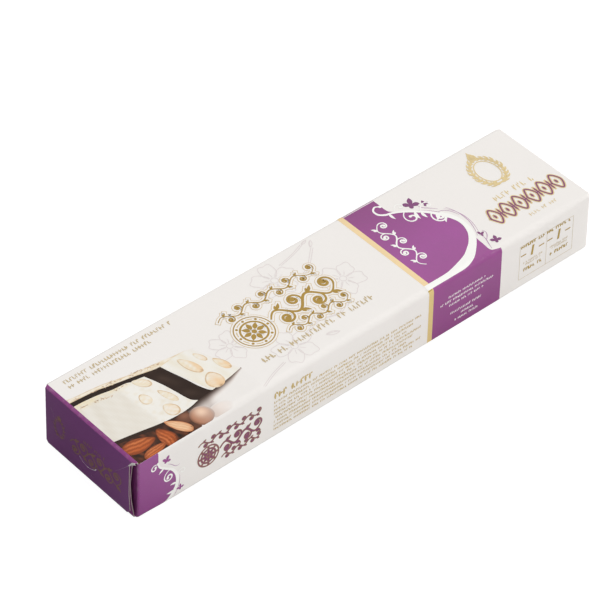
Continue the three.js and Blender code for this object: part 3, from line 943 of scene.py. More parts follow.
# The pictured nougat: two cut slabs with a dark layer between, almonds in the cut, brown nuts in front.
# Places are x along and y in from the shown side; colours are screen values.
nougat = {
    "crustTop": ((0.9, 35.6), (5, 35), (10, 34.5), (15, 33.8), (20, 32.6), (25, 31.6), (30, 31.0), (35, 30.4),
                 (40, 29.6), (44, 29.2), (47, 28.2)),
    "layerTop": ((0.9, 33.7), (5, 33.4), (10, 33), (15, 32), (20, 31), (25, 30), (30, 28.8), (33.4, 28.2)),
    "crustFoot": ((40, 28.2), (46.6, 28.0)),  # goes on from the layer's top
    "layerFoot": ((0.9, 31.8), (5, 31.6), (10, 31), (15, 30), (20, 29.5), (22, 28.7), (24, 28.6),
                  (27.5, 28.0)),
    "leftFoot": ((0.9, 12.0), (5, 11.3), (10, 10.4), (15, 9.4), (20, 8.6), (25, 8.3), (29, 8.6)),
    "leftCorner": ((32.8, 9.4),), "shadowCorner": ((30.5, 8.8),),  # where it ends, and its shadow
    "bandLeft": ((26.2, 28.9), (27.3, 26), (28.6, 22), (29.8, 17), (30.6, 13), (31.4, 10.8), (32.9, 9.4)),
    "bandRight": ((33.2, 28.4), (34.3, 24.3), (35.6, 20), (37, 14.5), (38.2, 11.4), (39.3, 9.9)),
    "rightFoot": ((39.3, 10.0), (42.9, 10.3), (47.4, 10.9), (52.7, 11.9)),
    "rightTop": ((33.2, 28.3), (38, 28.8), (42, 28.9), (46.2, 28.3)),
    "shadowFoot": ((0.9, 9.9), (6, 9.4), (9, 8.8), (12, 7.8), (15, 7.6), (18.6, 7.5), (24, 7.2), (30, 8.4)),
    # the dark between the brown nuts
    "gapFoot": ((0.9, -0.3), (14, -0.3), (27, -0.3)),
    "gapTop": ((0.9, 10.4), (9, 9.2), (14, 8.0), (20, 7.8), (27, 8.2)),
    # the soft shadow before the slabs: its dark edge, and at some x how far it fades out
    "shadeTop": ((20, 8.6), (25, 8.5), (29, 8.8), (33, 9.6), (36, 9.8), (39.3, 10.1), (42.9, 10.5),
                 (47.4, 11.1), (52.9, 12.1)),
    "shadeReach": ((20, 5.0), (35, 4.7), (38, 3.7), (41, 3.4), (44, 3.1), (47, 2.6), (50, 1.6), (53, 0.8)),
    "overFold": -0.3,  # so far the picture runs on over the side's fold
    # the slabs
    "cream": (236, 229, 212), "face": (241, 238, 231), "dull": (234, 229, 219), "streak": (212, 202, 184),
    "warm": (228, 214, 188), "warmTop": (238, 222, 186),
    "crust": (231, 214, 184), "crustPale": (242, 234, 218), "crustBrown": (196, 158, 112),
    "bitDark": (172, 122, 74), "bitLight": (224, 198, 152),
    "chocolate": (42, 25, 15), "chocolateCool": (36, 26, 21), "gleam": (70, 52, 42), "shadow": (50, 31, 21),
    "shadeDark": (58, 42, 34), "shadeFar": (104, 84, 74), "shadeEnd": (208, 184, 172),
    "gapLight": (96, 52, 32), "gapDark": (46, 28, 19), "gapSoft": (98, 64, 48),
    # the nuts
    "rim": (200, 160, 110), "kernel": (236, 222, 194), "toast": (240, 196, 142), "spot": (150, 104, 62),
    "skin": (190, 95, 45), "skinDark": (108, 50, 26), "skinLight": (235, 160, 110), "tan": (244, 208, 168),
    # almonds in the cut: x, y, half length, half width, heading, and how toasted
    "cutAlmonds": ((20.3, 20.2, 2.6, 2.1, 95, 0.1), (26.9, 17.0, 4.0, 1.5, 108, 0.15),
                   (23.8, 11.7, 3.1, 2.7, 105, 0.35), (24.1, 26.4, 3.3, 1.9, 132, 0.15),
                   (40.9, 22.8, 4.9, 2.1, 108, 0.7), (42.8, 13.2, 3.7, 3.4, 80, 1.0),
                   (49.5, 17.3, 3.6, 1.7, 107, 0.8), (45.9, 23.8, 2.7, 1.2, 110, 0.4)),
    # whole almonds: x, y, half length, half width, heading, and how tan
    "almonds": ((8.6, 1.0, 4.8, 2.2, 8, 0.1), (5.9, 6.0, 6.0, 3.4, -6, 0.0), (14.9, 3.4, 4.4, 3.1, 98, 0.0),
                (21.0, 4.6, 5.0, 2.2, 122, 1.0)),
    # hazelnuts: x, y and radii, then colours where lit, at the left, at the right, of the left and of the
    # right edge, and how far they fade; the first lies under all else
    "hazelnuts": (
        (36.4, 2.0, 5.0, 2.9, (238, 222, 211), (208, 186, 173), (230, 220, 212), (196, 176, 164),
         (228, 220, 214), 0.4),
        (24.4, 6.0, 3.0, 2.4, (140, 94, 70), (96, 58, 40), (112, 74, 56), (74, 44, 32), (100, 68, 52), 0.0),
        (29.5, 3.5, 4.1, 4.1, (240, 206, 180), (176, 116, 84), (188, 158, 144), (118, 78, 58),
         (202, 186, 178), 0.0)),
    # toasted bits along the crusts: from, to, how many, how far they stray
    "toasted": (((2, 34.2), (34, 29.9), 26, 0.35), ((12, 33.3), (17, 32.4), 10, 0.25),
                ((24, 31.6), (34, 30.1), 14, 0.2), ((1.6, 30.1), (5, 29.4), 9, 0.25),
                ((7, 29.2), (10.5, 28.8), 13, 0.3), ((11, 28.5), (13.5, 28.0), 7, 0.2),
                ((15, 29.4), (22, 28.4), 8, 0.25)),
    "seed": 5,
}


# The linear colours of screen values: a straight foot, then a power of 2.4.
def fromScreen(colour):
    value = np.asarray(colour, float) / 255
    return np.where(value <= 0.04045, value / 12.92, ((value + 0.055) / 1.055) ** 2.4)


# From first to second by straight lines.
def blend(first, second, share):
    return np.asarray(first) + (np.asarray(second) - np.asarray(first)) * np.asarray(share)[..., None]


# Slow blotches, about -1 to 1: five slanted sines with seeded directions, added up.
def blotches(grid, size, seed):
    draw = np.random.default_rng(seed)
    waves = draw.normal(size=(5, 2)) * 4.4 / size
    return np.sin(grid @ waves.T + 6.3 * draw.random(5)).sum(-1) / 2.5


# Places between two lines, from the lower to the upper.
def between(lower, upper, columns, rows):
    low, high = throughKnots(lower, columns), throughKnots(upper, columns)
    return low + np.linspace(0, 1, rows)[:, None, None] * (high - low)


# An oval in rings and spokes, with its far tip narrowed; also gives each place within it, -1 to 1.
def oval(x, y, along, across, heading, narrow, rings, spokes):
    radius, angle = np.linspace(0.002, 1, rings)[:, None], np.linspace(0, 2 * np.pi, spokes + 1)
    a, b = radius * np.cos(angle), radius * np.sin(angle)
    grid = np.stack([a * along, b * across * (1 - narrow * (0.5 + 0.5 * a) ** 2)], -1)
    return placed([grid], (x, y), 1, heading)[0], a, b


# The layers of the picture. Each is its places, its colours and the share of bare board that shows through.
# First the soft shadow before the slabs and between the hazelnuts: dark at the slabs, light at its reach.
def softShade():
    foot = tuple((x, nougat["overFold"]) for x, y in nougat["shadeTop"])
    shade = between(foot, nougat["shadeTop"], 70, 30)
    x, y = shade[..., 0], shade[..., 1]
    light = smooth(np.clip((shade[-1, :, 1] - y) / np.interp(x, *zip(*nougat["shadeReach"])), 0, 1))
    light = light * (1 - 0.42 * np.exp(-((x - 34.2) / 2.6) ** 2 - ((y - 3.4) / 4) ** 2))
    dark = blend(nougat["shadeDark"], nougat["shadeFar"], np.clip((x - 42) / 9, 0, 1))
    return shade, blend(dark, nougat["shadeEnd"], light ** 0.8), light ** 1.6


# A hazelnut in soft light: its colour runs from left to right, is lit by a bell round one point, and turns to
# that of its edge by how near the rim is.
def hazelnut(x, y, along, across, lit, left, right, leftEdge, rightEdge, veil):
    grid, a, b = oval(x, y, along, across, 0, 0, 30, 110)
    over = 0.5 + 0.5 * a
    tone = blend(blend(left, right, over), lit, np.exp(-((a - 0.2) ** 2 + (b - 0.35) ** 2) * 2.6))
    soft = np.clip((np.hypot(a, b) - 0.7) / 0.3, 0, 1) ** 1.5
    edge = blend(leftEdge, rightEdge, np.clip(over + 0.25 * b, 0, 1))
    return grid, blend(tone, edge, soft), np.clip(veil * (1 + 1.1 * a + 0.8 * soft), 0, 1)


# The crust of the far slab, its blotches drawn out along it, with a browned line near its top and its foot.
def farCrust():
    crust = between(nougat["layerTop"] + nougat["crustFoot"], nougat["crustTop"], 170, 12)
    rise = np.linspace(0, 1, 12)[:, None]
    patch = blotches(crust * (0.35, 1.6), 1.6, 1) + 0.6 * blotches(crust * (0.5, 1), 0.9, 9)
    tone = blend(nougat["crustPale"], nougat["crust"], np.clip(0.5 + 0.5 * patch, 0, 1))
    upper = np.exp(-((rise - 0.84) / 0.07) ** 2)
    upper = upper * np.clip(0.45 + 0.5 * blotches(crust * (0.5, 0), 2.2, 12), 0, 1)
    lower = np.exp(-((rise - 0.05) / 0.06) ** 2)
    tone = blend(tone, nougat["crustBrown"], np.clip(upper * 0.8 + lower * 0.5, 0, 1))
    fade = np.clip((rise - 0.86) / 0.14, 0, 1) + np.clip((crust[..., 0] - 40) / 7, 0, 1)
    return crust, tone, np.clip(fade, 0, 1)


# The left slab: its dull skin, then the cut face right of x = 17, and warm blotches near the top.
def leftSlab():
    left = between(nougat["leftFoot"] + nougat["leftCorner"], nougat["layerFoot"], 110, 60)
    x, y = left[..., 0], left[..., 1]
    cut = 1 / (1 + np.exp(-(x - 16.2 - 0.06 * (30 - y)) * 3))
    tone = blend(nougat["dull"], nougat["face"], cut)
    streaks = blotches(left * (2.6, 0.35), 3, 2) * (1 - cut)
    tone = blend(tone, nougat["streak"], np.clip(0.15 + 0.12 * streaks, 0, 1) * (1 - 0.6 * cut))
    tone = blend(tone, nougat["warm"], np.clip(blotches(left, 3.4, 15) * 0.25, 0, 1) * cut)
    top = np.clip((y - 27.6 - 0.05 * (16 - x)) / 2.6, 0, 1)
    patch = blotches(left * (0.5, 1.5), 1.5, 3)
    return left, blend(tone, nougat["warmTop"], top * np.clip(0.6 + 0.4 * patch, 0, 1)), 0


# The right slab, fading into the board at its far side.
def rightSlab():
    right = between(nougat["rightFoot"], nougat["rightTop"], 40, 30)
    away = np.clip((np.linspace(0, 1, 40) - 0.72) / 0.28, 0, 1) ** 2
    return right, blend(nougat["cream"], nougat["face"], 0.5 + 0.4 * blotches(right, 5, 4)), 0.85 * away


# The dark layer along the top, and where it slants down between the slabs with a dim gleam.
def darkLayers():
    layer = between(nougat["layerFoot"], nougat["layerTop"], 60, 5)
    cool = np.clip(0.5 + 0.5 * blotches(layer, 4, 6), 0, 1)
    band = between(nougat["bandLeft"], nougat["bandRight"], 40, 12)
    gleam = np.exp(-((np.linspace(-1, 1, 12)[:, None] + 0.2) / 0.6) ** 2) * (0.6 + 0.4 * blotches(band, 5, 7))
    return [(layer, blend(nougat["chocolate"], nougat["chocolateCool"], cool), 0),
            (band, blend(nougat["chocolate"], nougat["gleam"], gleam * 0.6), 0)]


# Toasted bits: small marks strewn along a line, from brown to pale.
def toastedBits(draw, start, stop, count, spread):
    share = draw.random(count)[:, None]
    at = np.array(start) + share * np.subtract(stop, start) + draw.normal(size=(count, 2)) * (0.3, spread)
    at[:, 0] = np.maximum(at[:, 0], 1.9 + draw.random(count))
    reach = 0.25 + 0.45 * draw.random(count) ** 2
    bits = marks(at, reach, 0.1 + 0.16 * draw.random(count), -8 + draw.normal(size=count) * 22)
    tone = blend(nougat["bitDark"], nougat["bitLight"], draw.random(count))
    return bits, np.broadcast_to(tone[:, None, None], (*bits.shape[:-1], 3)), 0.2


# Shadow under the left slab, and the dark between the brown nuts, softer towards the hazelnuts.
def darkGaps():
    under = between(nougat["shadowFoot"], nougat["leftFoot"] + nougat["shadowCorner"], 70, 6)
    gap = between(nougat["gapFoot"], nougat["gapTop"], 60, 48)
    tone = blend(nougat["gapLight"], nougat["gapDark"], 0.5 + 0.5 * blotches(gap, 3, 8))
    return [(under, nougat["shadow"], 0),
            (gap, blend(tone, nougat["gapSoft"], np.clip((gap[..., 0] - 22) / 4.5, 0, 1)), 0)]


# A whole almond: bent sines across it are the ridges of its skin, which darken towards the edge.
def wholeAlmond(number, x, y, along, across, heading, tan):
    grid, a, b = oval(x, y, along, across, heading, 0.5, 18, 60)
    line = 12 * b * (1 - 0.25 * a) + 1.3 * np.sin(3.1 * a + number) + number
    ridge = 0.5 + 0.32 * np.sin(line + 0.6 * blotches(grid, 1.5, 30 + number))
    ridge = ridge + 0.13 * blotches(grid * (1, 2.5), 1.1, 60 + number)
    full = np.clip(1 - (a ** 2 + b ** 2) ** 2.2, 0, 1)
    tone = blend(nougat["skinDark"], nougat["skin"], np.clip(0.2 + 0.8 * ridge * full + 0.25 * full, 0, 1))
    tone = blend(tone, nougat["skinLight"], np.clip(full * ridge ** 2 * (0.3 + 0.5 * b), 0, 1))
    pale = blend(nougat["skin"], nougat["tan"], np.clip(0.35 + 0.6 * full + 0.25 * (ridge - 0.5), 0, 1))
    return grid, blend(tone, pale, tan * 0.9), 0


# An almond in the cut: a pale kernel with a thin warm rim, stronger on one side, toasted in patches.
def cutAlmond(number, x, y, along, across, heading, toast):
    grid, a, b = oval(x, y, along, across, heading, 0.35, 16, 48)
    radius = np.hypot(a, b)
    strong = 0.5 + 0.5 * np.sin(np.arctan2(b, a) + 1.3 * number + 1) + 0.35 * blotches(grid, 1.4, 50 + number)
    rim = np.exp(-((radius - 0.92) / 0.07) ** 2) * np.clip(strong, 0.12, 1)
    warm = 0.42 + 0.25 * np.sin(2.3 * number) + 0.35 * blotches(grid * (1, 1.4), 2.2, 20 + number)
    tone = blend(nougat["face"], nougat["kernel"], np.clip(warm + 0.3 * np.clip(radius, 0, 1) ** 2, 0, 1))
    brown = np.clip(0.45 - 0.5 * a - 0.3 * b + 0.3 * blotches(grid, 3, number), 0, 0.9)
    tone = blend(tone, nougat["toast"], toast * brown)
    tone = blend(tone, nougat["spot"], 0.8 * toast * np.exp(-((a + 0.92) ** 2 + (b + 0.2) ** 2) * 40))
    return grid, blend(tone, nougat["rim"], rim), 0.1


# The whole picture, from its back layer to its front one. Each layer is a grid, its screen colours, and its
# fade: the share of the board's cream in it.
def nougatPicture():
    draw = np.random.default_rng(nougat["seed"])
    layers = [softShade(), hazelnut(*nougat["hazelnuts"][0]), farCrust(), leftSlab(), rightSlab()]
    layers += darkLayers()
    layers += [toastedBits(draw, *place) for place in nougat["toasted"]]
    layers += darkGaps()
    layers += [hazelnut(*place) for place in nougat["hazelnuts"][1:]]
    layers += [wholeAlmond(number, *place) for number, place in enumerate(nougat["almonds"])]
    layers += [cutAlmond(number, *place) for number, place in enumerate(nougat["cutAlmonds"])]
    grids, colours, fades = zip(*layers)
    # what lies beyond the crease or the fold is drawn in to it
    lowest = np.array([endFlaps["bevelRun"], nougat["overFold"]])
    inside = [np.where(grid < lowest, lowest + 0.01 * (grid - lowest), grid) for grid in grids]
    tints = [blend(fromScreen(colour), creamTone, fade + np.zeros(grid.shape[:-1]))
             for grid, colour, fade in zip(grids, colours, fades)]
    printPiece("nougatPicture", onPanels("top", inside), "picture", "pictureInk", tints=tints,
               stack="pictureStack")


nougatPicture()
print("picture: done")


# The title: a medallion and running scrolls, outlined by a thin line round a bare margin.
title = {
    "medal": (67.0, 21.6, 7.0),  # middle and radius
    # place, reach, height, waves and thickness
    "scrolls": ((74.8, 22.2, 27.0, 8.4, 4, 1.15), (60.5, 31.8, 41.0, 4.4, 8, 0.6),
                (76.0, 14.8, 25.5, 4.0, 6, 0.55)),
    "margin": 0.62, "line": 0.19,
    # smaller copies: scale, a place in the title and where it goes, and the line round it
    "side": (0.62, (59.5, 12), (24.5, 4.2), 0.2), "under": (0.24, (81, 22), (98.4, 7.2), 0.15),
}


# The medallion and the running scrolls, each moved to its place.
def titleShapes():
    x, y, radius = title["medal"]
    shapes = placed(rosette(radius), (x, y))
    for x, y, reach, tall, waves, thick in title["scrolls"]:
        shapes += placed(runningScroll(reach, tall, waves, thick), (x, y))
    return shapes


# The title on a panel: wider strokes for the outline, then for the bare margin if there is one, then its own.
def titlePieces(suffix, panel, shapes, margin, line, ink, outlineInk):
    printPiece("titleOutline" + suffix, onPanels(panel, grown(shapes, margin + line)), "outline", outlineInk)
    if margin:
        printPiece("titleMargin" + suffix, onPanels(panel, grown(shapes, margin)), "halo", "creamBoard")
    printPiece("title" + suffix, onPanels(panel, shapes), "ornament", ink)


# A smaller copy of the title: scaled, and moved so that its own place comes to the given one.
def smallTitle(suffix, panel, ink, outlineInk):
    scale, own, place, line = title[panel]
    shapes = placed(titleShapes(), np.array(place) - scale * np.array(own), scale)
    titlePieces(suffix, panel, shapes, 0, line, ink, outlineInk)


titlePieces("Top", "top", titleShapes(), title["margin"], title["line"], "titleGoldInk", "paleGoldInk")
smallTitle("Side", "side", "sideTitleInk", "sideGoldInk")
smallTitle("Under", "under", "titleGoldInk", "paleGoldInk")
print("titles: done")


# Faint flowers behind the title, all in thin line.
flowers = {
    "blooms": ((72.5, 8.4, 7.6, 20), (56.5, 21.5, 6.8, 60), (88, 35.5, 8.0, 5), (106.0, 22, 7.6, 40)),
    "stems": (((53, 0.9), (58, 3.2), (65, 5.2)), ((98, 12), (103, 16)), ((95, 31), (101, 34), (108, 40)),
              ((79, 10.5), (86, 12.5), (94, 11), (100, 14)), ((94, 40), (101, 41.5), (106, 43.2))),
    "buds": ((108, 40.2, 50, 3.6), (106.5, 43.0, 15, 2.8), (84, 6, -20, 5)),
    "line": 0.24,
}


# Five waved petals about a ring, each an arc whose radius is a bent sine of the angle, with a vein in it;
# double stems; buds of three bent lines.
def flowerShapes():
    shapes, line, t = [], flowers["line"], np.linspace(0, 1, 34)
    for x, y, radius, turn in flowers["blooms"]:
        for petal in range(5):
            heading = turn + 72 * petal
            angle = np.radians(heading + 84 * (t - 0.5))
            reach = radius * (0.22 + 0.78 * np.sin(np.pi * t) ** 0.5)
            reach = reach * (1 + 0.06 * np.sin(17 * t + 2 * petal + x))
            shapes.append(ribbon(np.stack([x + reach * np.cos(angle), y + reach * np.sin(angle)], 1), line))
            vein, foot = np.radians(heading), 0.2 * radius
            base = (x + foot * np.cos(vein), y + foot * np.sin(vein))
            shapes.append(leaf(base, heading, 0.32 * radius, line, 6))
        shapes.append(ovalRing((x, y), 0.16 * radius, 0.16 * radius, line, 16))
    for knots in flowers["stems"]:
        path = throughKnots(knots, 30)
        shapes += [ribbon(path, line), ribbon(path + (0.5, -0.5), line)]
    for x, y, heading, reach in flowers["buds"]:
        for bend in (-75 / reach, 75 / reach, -25 / reach):
            lean = -bend * reach / 2
            shapes.append(ribbon(scrollPath((x, y), heading + lean, reach, [bend, bend], 20), line))
    return shapes


printPiece("faintFlowers", onPanels("top", flowerShapes()), "faint", "mauveInk")
print("flowers: done")

# Small print, in rows of strokes: left, right, foot and height of each row, as read on its panel.
rows = {
    "topFaint": ((5, 50, 41.2, 1.75), (5, 39, 38.6, 1.75)),
    "topCaption": ((60, 109, 8.6, 2.5),),
    "wreathCaption": ((171.5, 191, 17.5, 2.7), (174.5, 189, 4.9, 1.7)),
    "sideHeading": ((56.4, 73.2, 17.6, 2.7),),
    "sideText": tuple((56.5, 121 - 3.2 * (k * 7 % 3), 15.6 - 1.72 * k, 1.05) for k in range(8)),
    "underText": tuple((58, 120 - 4.1 * (k * 5 % 4), 36.5 - 2.3 * k, 1.2) for k in range(10)),
    "underList": ((14, 46, 33.5, 1.6),
                  *((10, 50 - 3.3 * (k * 3 % 4), 29 - 2.1 * k, 1.1) for k in range(9))),
    "underBand": tuple((129 + 2 * (k % 3), 154 - 2 * (k % 2), 33 - 3.1 * k, 1.3) for k in range(7)),
    "backText": tuple((58, 118 - 3.7 * (k * 5 % 4), 18.5 - 1.9 * k, 1.1) for k in range(7)),
    "sideBand": ((133, 150.5, 15.9, 1.05), (129.4, 154.2, 13.9, 1.05), (133.4, 150, 11.9, 1.05),
                 (134.2, 149, 7.8, 1.05), (138.4, 145.4, 5.7, 1.05), (136.4, 147.6, 3.7, 1.05)),
}


# One piece of small print: every row of the named blocks, each with a seed of its own.
def rowPiece(name, panel, blocks, ink, level="line", **strokes):
    shapes = []
    for block in blocks.split():
        for number, row in enumerate(rows[block]):
            shapes += printedRows(*row, 31 * number + len(block), **strokes)
    printPiece(name, onPanels(panel, shapes), level, ink)


rowPiece("smallPrintTop", "top", "topFaint", "faintGoldInk")
rowPiece("captionTop", "top", "topCaption", "faintGoldInk", "overLine", weight=0.33)
rowPiece("captionWreath", "top", "wreathCaption", "wreathGoldInk", weight=0.24)
rowPiece("headingSide", "side", "sideHeading", "sideTextInk", weight=0.42, gaps=0.05)
rowPiece("smallPrintSide", "side", "sideText", "sideTextInk", weight=0.4)
rowPiece("smallPrintBack", "back", "backText", "sideTextInk")
rowPiece("smallPrintUnder", "under", "underText underList", "sideTextInk")
rowPiece("smallPrintUnderBand", "under", "underBand", "whiteInk")
rowPiece("smallPrintBand", "side back", "sideBand", "whiteInk")
print("small print: done")

# White scrollwork on the band: a broad sweep from the stripe's foot up the lobe, given by its two edges,
# thins out into a stem with curls and leaves; fine mauve lines and purple leaves stand outside it.
scrolls = {
    "inner": ((123.9, 2.5), (133, 2.5), (136.8, 3.0), (141.6, 4.2), (145.0, 5.4), (147.8, 7.1), (150.2, 8.8),
              (152.7, 11.5), (154.0, 13.9), (154.7, 16.5), (154.6, 19), (153.7, 21.5), (152.1, 24)),
    "outer": ((123.9, 0.0), (136, 0.0), (141.4, 0.15), (144.9, 1.3), (147.9, 3.2), (150.3, 5.2), (152.2, 7.0),
              (153.9, 9.0), (155.6, 12.4), (156.4, 16.5), (156.2, 19.8), (155.2, 22.8), (153.4, 25.4)),
    "stem": ((152.8, 24.7), (150.2, 28.2), (147.0, 31.2), (143.6, 33.8), (140.6, 35.4), (138.0, 36.2),
             (136.2, 37.8), (136.1, 40.0), (137.8, 41.3), (139.4, 40.4)),
    "stemWidths": (1.5, 1.25, 1.05, 0.95, 0.9, 0.9, 0.8, 0.7, 0.6, 0.5),
    "stemEnd": 0.6,
    # start, heading, reach, turning at even stations, width
    "curls": (((150.9, 27.4), 214, 19, (14, 20, 26, 34, 48, 70), 0.95),
              ((144.2, 33.4), 206, 12, (10, 20, 34, 60), 0.7),
              ((148.6, 30.0), 60, 9, (-4, -16, -40, -80), 0.55),
              ((141.5, 35.0), 70, 8, (-6, -20, -44, -90), 0.5)),
    # base, heading, reach, width, bend
    "leaves": (((146.8, 31.3), 238, 4.2, 1.2, 10), ((148.4, 29.8), 250, 3.6, 1.1, 10),
               ((139.4, 35.8), 250, 3.4, 1.0, 12), ((152.6, 24.9), 196, 3.4, 1.1, 10),
               ((153.4, 22.9), 214, 3.0, 0.9, 10)),
    # purple leaves on the board, as sprays: place, headings, reach, width
    "sprays": (((147.6, 33.6), (10, 60, 110), 4.6, 1.9), ((151.8, 31.4), (30, 75), 2.6, 1.1),
               ((157.9, 3.2), (20, 66, 112), 3.2, 1.3), ((156.3, 8.4), (50, 95), 2.4, 0.9)),
    # fine lines outside the sweep: start, heading, reach, turning, width
    "fineLines": (((154.9, 9.2), 62, 18, (0.5, 3.4, 3.4, 4.5), 0.28),
                  ((156.4, 10.2), 66, 17, (1.5, 3.5, 4.5, 6), 0.22),
                  ((157.4, 20.5), 100, 9, (3, 7, 14, 40), 0.25),
                  ((153.9, 27.2), 128, 8, (3, 3, -10, -60), 0.25),
                  ((154.2, 1.6), 74, 8, (0, -4, 10, 30), 0.3), ((155.4, 5.6), 40, 6, (-4, 12, 50), 0.3)),
    # reach, height, waves and thickness of the scroll that climbs the band, and its foot
    "riser": (24, 5.4, 5, 0.62), "riserFoot": (132.0, 9.8),
    # the near field on a long side: its white stem, curls and leaves, and the purple ones on the board by it
    "cornerStem": ((8.4, 20.4), (9.3, 17.9), (11.6, 15.9), (14.2, 13.9), (15.9, 11.2), (16.5, 8.2),
                   (15.9, 5.0), (14.0, 2.3), (11.4, 0.4)),
    "cornerStemWidths": (0.55, 0.7, 0.8, 0.95, 1.15, 1.25, 1.3, 1.25, 1.0),
    "cornerCurls": (((13.6, 14.4), 196, 12, (12, 22, 34, 50, 80), 0.7),
                    ((8.6, 19.4), 130, 6.5, (30, 42, 60, 90), 0.6),
                    ((16.3, 9.6), 76, 7, (-8, -30, -60, -90), 0.45)),
    "cornerLeaves": (((15.4, 4.2), 205, 3.4, 1.0, -14), ((16.2, 6.6), 150, 2.8, 0.9, 14),
                     ((11.0, 16.3), 200, 2.6, 0.8, 12)),
    "cornerSprays": (((11.6, 18.6), (10, 60, 110), 2.8, 1.15), ((17.6, 2.9), (40, 88, 136), 2.3, 0.8)),
    "cornerLines": (((17.4, 9.6), -86, 8.5, (-2, -5, -7, -4), 0.25), ((13.0, 0.8), 40, 5, (6, 12, 30), 0.3),
                    ((12.6, 17.2), -30, 6, (-6, -10, 20, 60), 0.25)),
}


# Curls: strokes that widen along a curling line, with a round end.
def curlShapes(curls):
    shapes = []
    for start, heading, reach, turning, thick in curls:
        curl = scrollPath(start, heading, reach, turning, 60)
        shapes += [ribbon(curl, np.linspace(0.5 * thick, thick, 60)), disc(curl[-1], thick * 0.8)]
    return shapes


# A spray: a bead with round leaves about it, each curling away from the middle one.
def sprayShapes(sprays):
    shapes = []
    for place, headings, reach, width in sprays:
        middle = headings[len(headings) // 2]
        for heading in headings:
            off = heading - middle
            own = reach * (1 - 0.0045 * abs(off))
            path = scrollPath(place, heading - 0.3 * off, own, [1.1 * off / own, 1.6 * off / own], 16)
            shapes.append(ribbon(path, swelling(16, 0.1, width, 0.62)))
        shapes.append(disc(place, 0.42 * width, steps=9))
    return shapes


# Fine lines: curling strokes, thin at both ends.
def lineShapes(lines):
    return [ribbon(scrollPath(start, heading, reach, turning, 40), swelling(40, 0.3 * thick, thick))
            for start, heading, reach, turning, thick in lines]


# The white scroll on the top: the sweep between its two edges, stem, curls and leaves.
def sweepShapes():
    inner, outer = throughKnots(scrolls["inner"], 120), throughKnots(scrolls["outer"], 120)
    sweep = inner + np.linspace(0, 1, 16)[:, None, None] * (outer - inner)
    stem = throughKnots(scrolls["stem"], 150)
    shapes = [sweep, tapered(stem, scrolls["stemWidths"]), disc(stem[-1], scrolls["stemEnd"])]
    return shapes + curlShapes(scrolls["curls"]) + [leaf(*item) for item in scrolls["leaves"]]


# The white scroll of the near corners: stem, curls and leaves.
def cornerShapes():
    stem = tapered(throughKnots(scrolls["cornerStem"], 120), scrolls["cornerStemWidths"])
    return [stem] + curlShapes(scrolls["cornerCurls"]) + [leaf(*item) for item in scrolls["cornerLeaves"]]


scrollPieces = (
    ("whiteScroll", "top", sweepShapes(), "ornament", "whiteInk"),
    ("fineLines", "top", lineShapes(scrolls["fineLines"]), "line", "shadeInk"),
    ("purpleLeaves", "top", sprayShapes(scrolls["sprays"]), "overLine", "deepInk"),
    ("cornerScroll", "side back", cornerShapes(), "ornament", "whiteInk"),
    ("cornerLines", "side back", lineShapes(scrolls["cornerLines"]), "line", "shadeInk"),
    ("cornerLeaves", "side back", sprayShapes(scrolls["cornerSprays"]), "overLine", "purpleInk"),
    ("whiteRiser", "top", placed(runningScroll(*scrolls["riser"]), scrolls["riserFoot"], 1, 90), "ornament",
     "whiteInk"),
)
for name, panel, shapes, level, ink in scrollPieces:
    printPiece(name, onPanels(panel, shapes), level, ink)
print("scrollwork: done")

# The ornaments of the far part: a wreath and a chain of lozenges before it.
farLook = {
    "wreath": (5.2, 6.9, 2.8, 10, 0.11),  # radii, leaves' reach, pairs of leaves, thinness
    "wreathMiddle": (180.4, 30.6), "wreathLean": -3,
    "chain": (34.6, 7.4, 6, 0.6),  # reach, height, count, thickness
    "chainFoot": (163.2, 12.3), "chainMargin": 0.36,
}


# Tall open lozenges with a bead in each, and a spindle with two small leaves between neighbours.
def lozengeChain(reach, tall, count, thick):
    pitch, shapes = reach / count, []
    corners = np.array([(-0.37 * pitch, 0), (0, 0.5 * tall), (0.37 * pitch, 0), (0, -0.5 * tall)])
    lozenge = throughKnots(corners[[0, 1, 2, 3, 0]], 41)
    for k in range(count):
        middle = ((k + 0.5) * pitch, 0)
        shapes += [ribbon(lozenge + middle, thick), disc(middle, thick * 0.7, thick * 1.5)]
    for k in range(count - 1):
        at = np.array([(k + 1) * pitch, 0])
        for turn in (90, -90):
            shapes.append(leaf(at, turn, 0.36 * tall, 1.25 * thick))
        shapes.append(disc(at, 0.8 * thick))
    return shapes


wreathShapes = placed(wreath(*farLook["wreath"]), farLook["wreathMiddle"], 1, farLook["wreathLean"])
printPiece("wreathTop", onPanels("top", wreathShapes), "ornament", "wreathGoldInk")
chain = placed(lozengeChain(*farLook["chain"]), farLook["chainFoot"])
printPiece("chainOutline", onPanels("top", grown(chain, farLook["chainMargin"])), "outline", "wreathGoldInk")
printPiece("chain", onPanels("top", chain), "ornament", "chainInk")
print("far ornaments: done")

# The table on the long sides near the far end. Rows are left, right, foot and height.
table = {
    "frame": (166.0, 191.3, 4.6, 19.9), "divider": 178.7, "line": 0.13,
    "heading": ((166.4, 190.9, 18.5, 1.5),),
    "bars": ((172.0, 13.2, 4.4), (184.5, 13.2, 4.4)), "barLean": 0.3, "barWidth": 0.95,
    "dashes": (3.0, 2.5, 0.5), "dashRise": 0.45,  # beside the bars: out, reach, width, share of their height
    "faint": ((167.8, 177.2, 11.0, 0.9), (168.8, 176.2, 9.9, 0.9), (180.4, 189.8, 11.0, 0.9),
              (181.4, 188.8, 9.9, 0.9)),
    "bold": ((168.0, 177.6, 7.3, 1.6), (180.6, 190.2, 7.3, 1.6)),
    "stripeDash": ((123.9, height - 0.5), (125.8, height - 0.35), 0.5),  # where the stripe meets the fold
}


